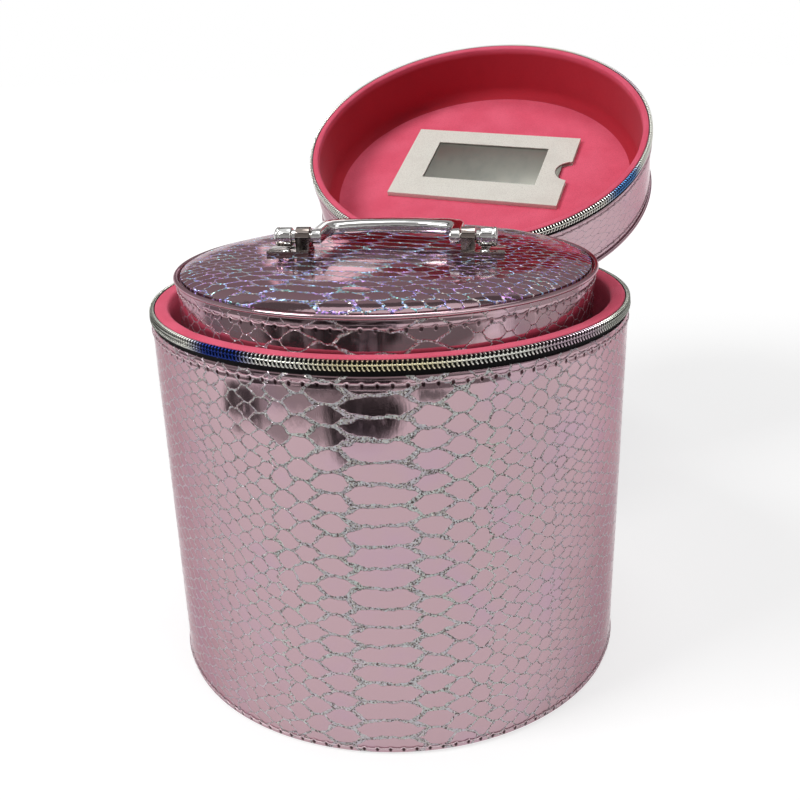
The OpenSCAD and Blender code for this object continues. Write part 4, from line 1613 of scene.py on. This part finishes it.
@dataclass
class Studio:
    """A pale floor, soft lamps, the camera, and cards that only gloss can see.

    Attributes:
        eye: Where the camera stands, in metres.
        heading: The way it faces, in degrees left of +Y.
        pitch: How far it looks down, in degrees.
        roll: How far it leans, in degrees.
        lens: Its lens on a 36 mm sensor.
        sky_low: The sky's strength at the horizon.
        sky_high: The sky's strength overhead.
    """

    eye: tuple[float, float, float] = (0.1376, -0.4578, 0.3091)
    heading: float = 16.3
    pitch: float = 20.35
    roll: float = -1.64
    lens: float = 42.67
    sky_low: float = 0.16
    sky_high: float = 0.8

    def camera(self) -> None:
        """Sets up the camera."""
        turn = (Matrix.Rotation(math.radians(self.heading), 4, "Z")
                @ Matrix.Rotation(math.radians(90 - self.pitch), 4, "X")
                @ Matrix.Rotation(math.radians(self.roll), 4, "Z"))
        data = bpy.data.cameras.new("camera")
        data.lens, data.sensor_width, data.sensor_fit = self.lens, 36.0, "HORIZONTAL"
        data.clip_start, data.clip_end = 0.02, 30.0
        obj = set_down("camera", data)
        obj.matrix_world = Matrix.Translation(self.eye) @ turn
        bpy.context.scene.camera = obj

    def world(self) -> None:
        """White where the camera and gloss see it, and a soft sky for the light."""
        world = bpy.data.worlds.new("studio")
        bpy.context.scene.world = world
        graph = Graph(world, "BACKGROUND")
        _, _, up = graph.split(graph.add("ShaderNodeTexCoord").outputs["Generated"])
        sky = graph.add("ShaderNodeMapRange", {0: up, 3: self.sky_low, 4: self.sky_high})
        graph.feed(graph.shader.inputs["Strength"], sky.outputs[0])
        white = graph.add("ShaderNodeBackground", {"Color": (1, 1, 1, 1)})
        path = graph.add("ShaderNodeLightPath").outputs
        share = path["Is Camera Ray"]
        for kind in ("Is Glossy Ray", "Is Transmission Ray"):
            share = graph.calc("MAXIMUM", share, path[kind])
        mix = graph.add("ShaderNodeMixShader", {0: share, 1: graph.shader.outputs[0], 2: white.outputs[0]})
        graph.feed(graph.tree.nodes["World Output"].inputs["Surface"], mix.outputs[0])

    def floor(self) -> None:
        """A wide pale floor that keeps the object's shadow; seen in gloss it carries a painted reflection,
        brighter behind and to the right.
        """
        bm = bmesh.new()
        bmesh.ops.create_circle(bm, cap_ends=True, radius=12.0, segments=96)
        graph = Graph(bpy.data.materials.new("floor_pale"))
        path = graph.add("ShaderNodeLightPath").outputs
        seen = graph.calc("MAXIMUM", path["Is Camera Ray"], path["Is Glossy Ray"])
        x, y, _ = graph.split(graph.vector("SCALE", graph.place(), MM))
        # Painted reflection: seen in gloss, the floor is a little darker in front and brighter behind and to the
        # right of the case.
        behind = graph.calc("MULTIPLY", graph.step(x, 0.05, 0.25), graph.step(y, -0.1, 0.2))
        shine = graph.calc("MULTIPLY_ADD", graph.step(graph.reach(x, y), 0.3, 1.6), 0.3, 0.7)
        drift = graph.calc("MULTIPLY_ADD", behind, 0.2, 0.955)
        shine = graph.calc("MULTIPLY", shine, graph.blend(path["Is Glossy Ray"], 1.0, drift))
        graph.set(base_color=(0.4, 0.4, 0.4, 1), roughness=0.9, specular_ior_level=0.0,
                  emission_color=(1, 1, 1, 1), emission_strength=graph.calc("MULTIPLY", seen, shine))
        mesh = finished(bm, "floor")
        mesh.materials.append(graph.owner)
        obj = set_down("floor", mesh)
        obj.location.z = -0.0004

    def bands(self) -> None:
        """Stands a grey and a dark band high round the room, far away."""
        far = 4000.0
        for name, low, high, tone in (("band_grey", 9, 42, 0.36), ("band_dark", 42, 52, 0.1)):
            outline = [(far, far * math.tan(math.radians(a))) for a in (low, high)]
            Card(name, tone).stand(turned(outline, 0, 360, 48, closed=False))

    def strips(self) -> None:
        """Stands bent strips round the case, in front and a light one behind."""
        for card, radius, low, high, start, sweep in (
                (Card("strip_lid", 0.15, 0.92, 0.25), 460, 80, 250, -185, 165),
                (Card("strip_lid_right", 0.5, 0.85, 0.25, 60.0, 0.2, 0.5), 460, 80, 250, -20, 60),
                (Card("strip_lid_dark", 0.01, 1.0, 0.25, 60.0, 0.34, 0.4), 450, 82, 250, -134, 68),
                (Card("strip_rim", 0.03, 0.9, 0.25, 60.0, 0.26, 0.4), 460, 64, 80, -118, 72),
                (Card("strip_top_light", 2.2, 0.95, 0.25, 34.0, 0.3, 1.5), 700, 335, 388, 106, 14)):

            def rim(co: Vector) -> Point:
                along = (math.degrees(math.atan2(co.y, co.x)) - start + 1) % 360 - 1
                return 2 * along / sweep - 1, (co.z / MM - low) / (high - low)

            strip = turned([(radius, low), (radius, high)], start, sweep, 64, closed=False)
            lay(strip, "rim", rim)
            card.stand(strip)

    def patches(self) -> None:
        """Stands flat dark patches low in front of the case, square to it."""
        for card, where, size in (
                (Card("flag_front", 0.01, 1.0, 0.5, 34.0), (0.036, -0.447, 0.036), (0.28, 0.062)),
                (Card("flag_left", 0.01, 0.95, 0.5, 34.0), (-0.362, -0.322, 0.030), (0.2, 0.06)),
                (Card("flag_middle", 0.2, 0.72, 0.5), (-0.19, -0.43, 0.045), (0.44, 0.06))):
            bm = bmesh.new()
            bmesh.ops.create_grid(bm, x_segments=2, y_segments=2, size=1.0)
            lay(bm, "rim", lambda co: co.xy)
            away = math.atan2(where[1], where[0]) + math.pi / 2
            upright = Matrix.Rotation(away, 4, "Z") @ Matrix.Rotation(math.pi / 2, 4, "X")
            place = Matrix.Translation(where) @ upright @ Matrix.Diagonal((size[0] / 2, size[1] / 2, 1, 1))
            bmesh.ops.transform(bm, matrix=place, verts=bm.verts)
            card.stand(bm)

    def lamp(self, name: str, where: Sequence[float], size: float, watts: float) -> None:
        """Adds a square soft lamp aimed at the case.

        Args:
            name: Its name.
            where: Where it hangs, in metres.
            size: Its side, in metres.
            watts: Its power.
        """
        data = bpy.data.lights.new(name, "AREA")
        data.shape, data.size, data.energy = "SQUARE", size, watts
        obj = set_down(name, data)
        obj.location = where
        aim = Vector((0, 0, 0.15)) - Vector(where)
        obj.rotation_euler = aim.to_track_quat("-Z", "Y").to_euler()

    def build(self) -> None:
        """Sets up everything."""
        bpy.context.scene.view_settings.view_transform = "Standard"
        self.camera()
        self.world()
        self.floor()
        self.bands()
        self.strips()
        self.patches()
        self.lamp("key_lamp", (-1.2, -1.0, 1.7), 0.8, 32)
        self.lamp("fill_lamp", (1.4, -0.9, 1.3), 0.9, 5)
        self.lamp("top_lamp", (0.1, 0.1, 2.2), 0.9, 14)


def meeting_frame(label: str, turn: float) -> tuple[Matrix, float, float]:
    """Where a case stands and how big it is.

    Args:
        label: The case's name.
        turn: How far it is turned about the upright axis, in radians.

    Returns:
        The frame of its meeting plane, its wall's radius and its drum's depth.
    """
    low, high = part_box(f"{label}_wall_cover")
    centre = (low + high) / 2
    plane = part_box(f"{label}_wall_lining")[1].z + RIM_GAP * MM
    place = Matrix.Translation((centre.x, centre.y, plane)) @ Matrix.Rotation(turn, 4, "Z")
    return place, (high.x - low.x) / 2 / MM, (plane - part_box(f"{label}_base_cover")[0].z) / MM


def handle_frame(lid: Matrix, height: float, hang: float = 0.0) -> Matrix:
    """The frame whose X axis is the pivot line of a lid's handle.

    Args:
        lid: The lid's frame.
        height: From the meeting plane to the piping.
        hang: How far the grip hangs from the top, in radians.

    Returns:
        The handle's frame.
    """
    return lid @ Matrix.Translation((0, 0, (height + PIVOT_RISE) * MM)) @ Matrix.Rotation(hang, 4, "X")


def main() -> None:
    """Builds the studio and every sub-assembly in order."""
    logging.basicConfig(level=logging.INFO, format="%(relativeCreated)7d ms %(message)s", stream=sys.stdout)
    maker = Maker()
    Studio().build()
    line = joint("inner_lid_hinge")["axis"]
    outer, outer_radius, outer_depth = meeting_frame("outer", 0.0)
    inner, inner_radius, inner_depth = meeting_frame("inner", math.atan2(-line[1], -line[0]))
    opened = -joint("outer_lid_hinge")["range_deg"][0]
    axis = outer_radius - HINGE_INSET
    swing = (Matrix.Translation((0, axis * MM, 0)) @ Matrix.Rotation(math.radians(-opened), 4, "X")
             @ Matrix.Translation((0, -axis * MM, 0)))
    outer_lid = outer @ swing
    Drum("outer", outer, outer_radius, outer_depth, OUTER_BELLY, 1.0).build(maker)
    Drum("inner", inner, inner_radius, inner_depth, INNER_BELLY, 0.45).build(maker)
    Lid("inner", inner, inner_radius, INNER_LID_HEIGHT, INNER_BELLY, 0.48, top_belly=(-26.0, -86.0),
        top_turn=-16.0, lean=0.15).build(maker)
    Lid("outer", outer_lid, outer_radius, OUTER_LID_HEIGHT, OUTER_BELLY, 0.25, top_belly=(20.0, 0.0),
        top_turn=12.0).build(maker)
    FabricHinge("outer", outer_radius - 1.3, axis, opened).build(maker, outer, ("outer_case", "outer_lid"))
    FabricHinge("inner", inner_radius - 1.3, inner_radius - HINGE_INSET, 0.0).build(
        maker, inner, ("inner_case", "inner_lid"))
    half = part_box("outer_handle_grip")[1].x / MM
    hang = math.radians(-joint("outer_handle_pivot")["range_deg"][0])
    CarryHandle("outer", handle_frame(outer_lid, OUTER_LID_HEIGHT, hang), half).build(maker)
    CarryHandle("inner", handle_frame(inner, INNER_LID_HEIGHT), half).build(maker)
    for label, side in (("outer", "right"), ("outer", "left"), ("inner", "rear"), ("inner", "front")):
        ZipRunner(label, side).build(maker)
    MirrorPocket().build(maker)
    Core().build()
    LOG.info("%d pieces made", len(maker.made))


if __name__ == "__main__":
    main()
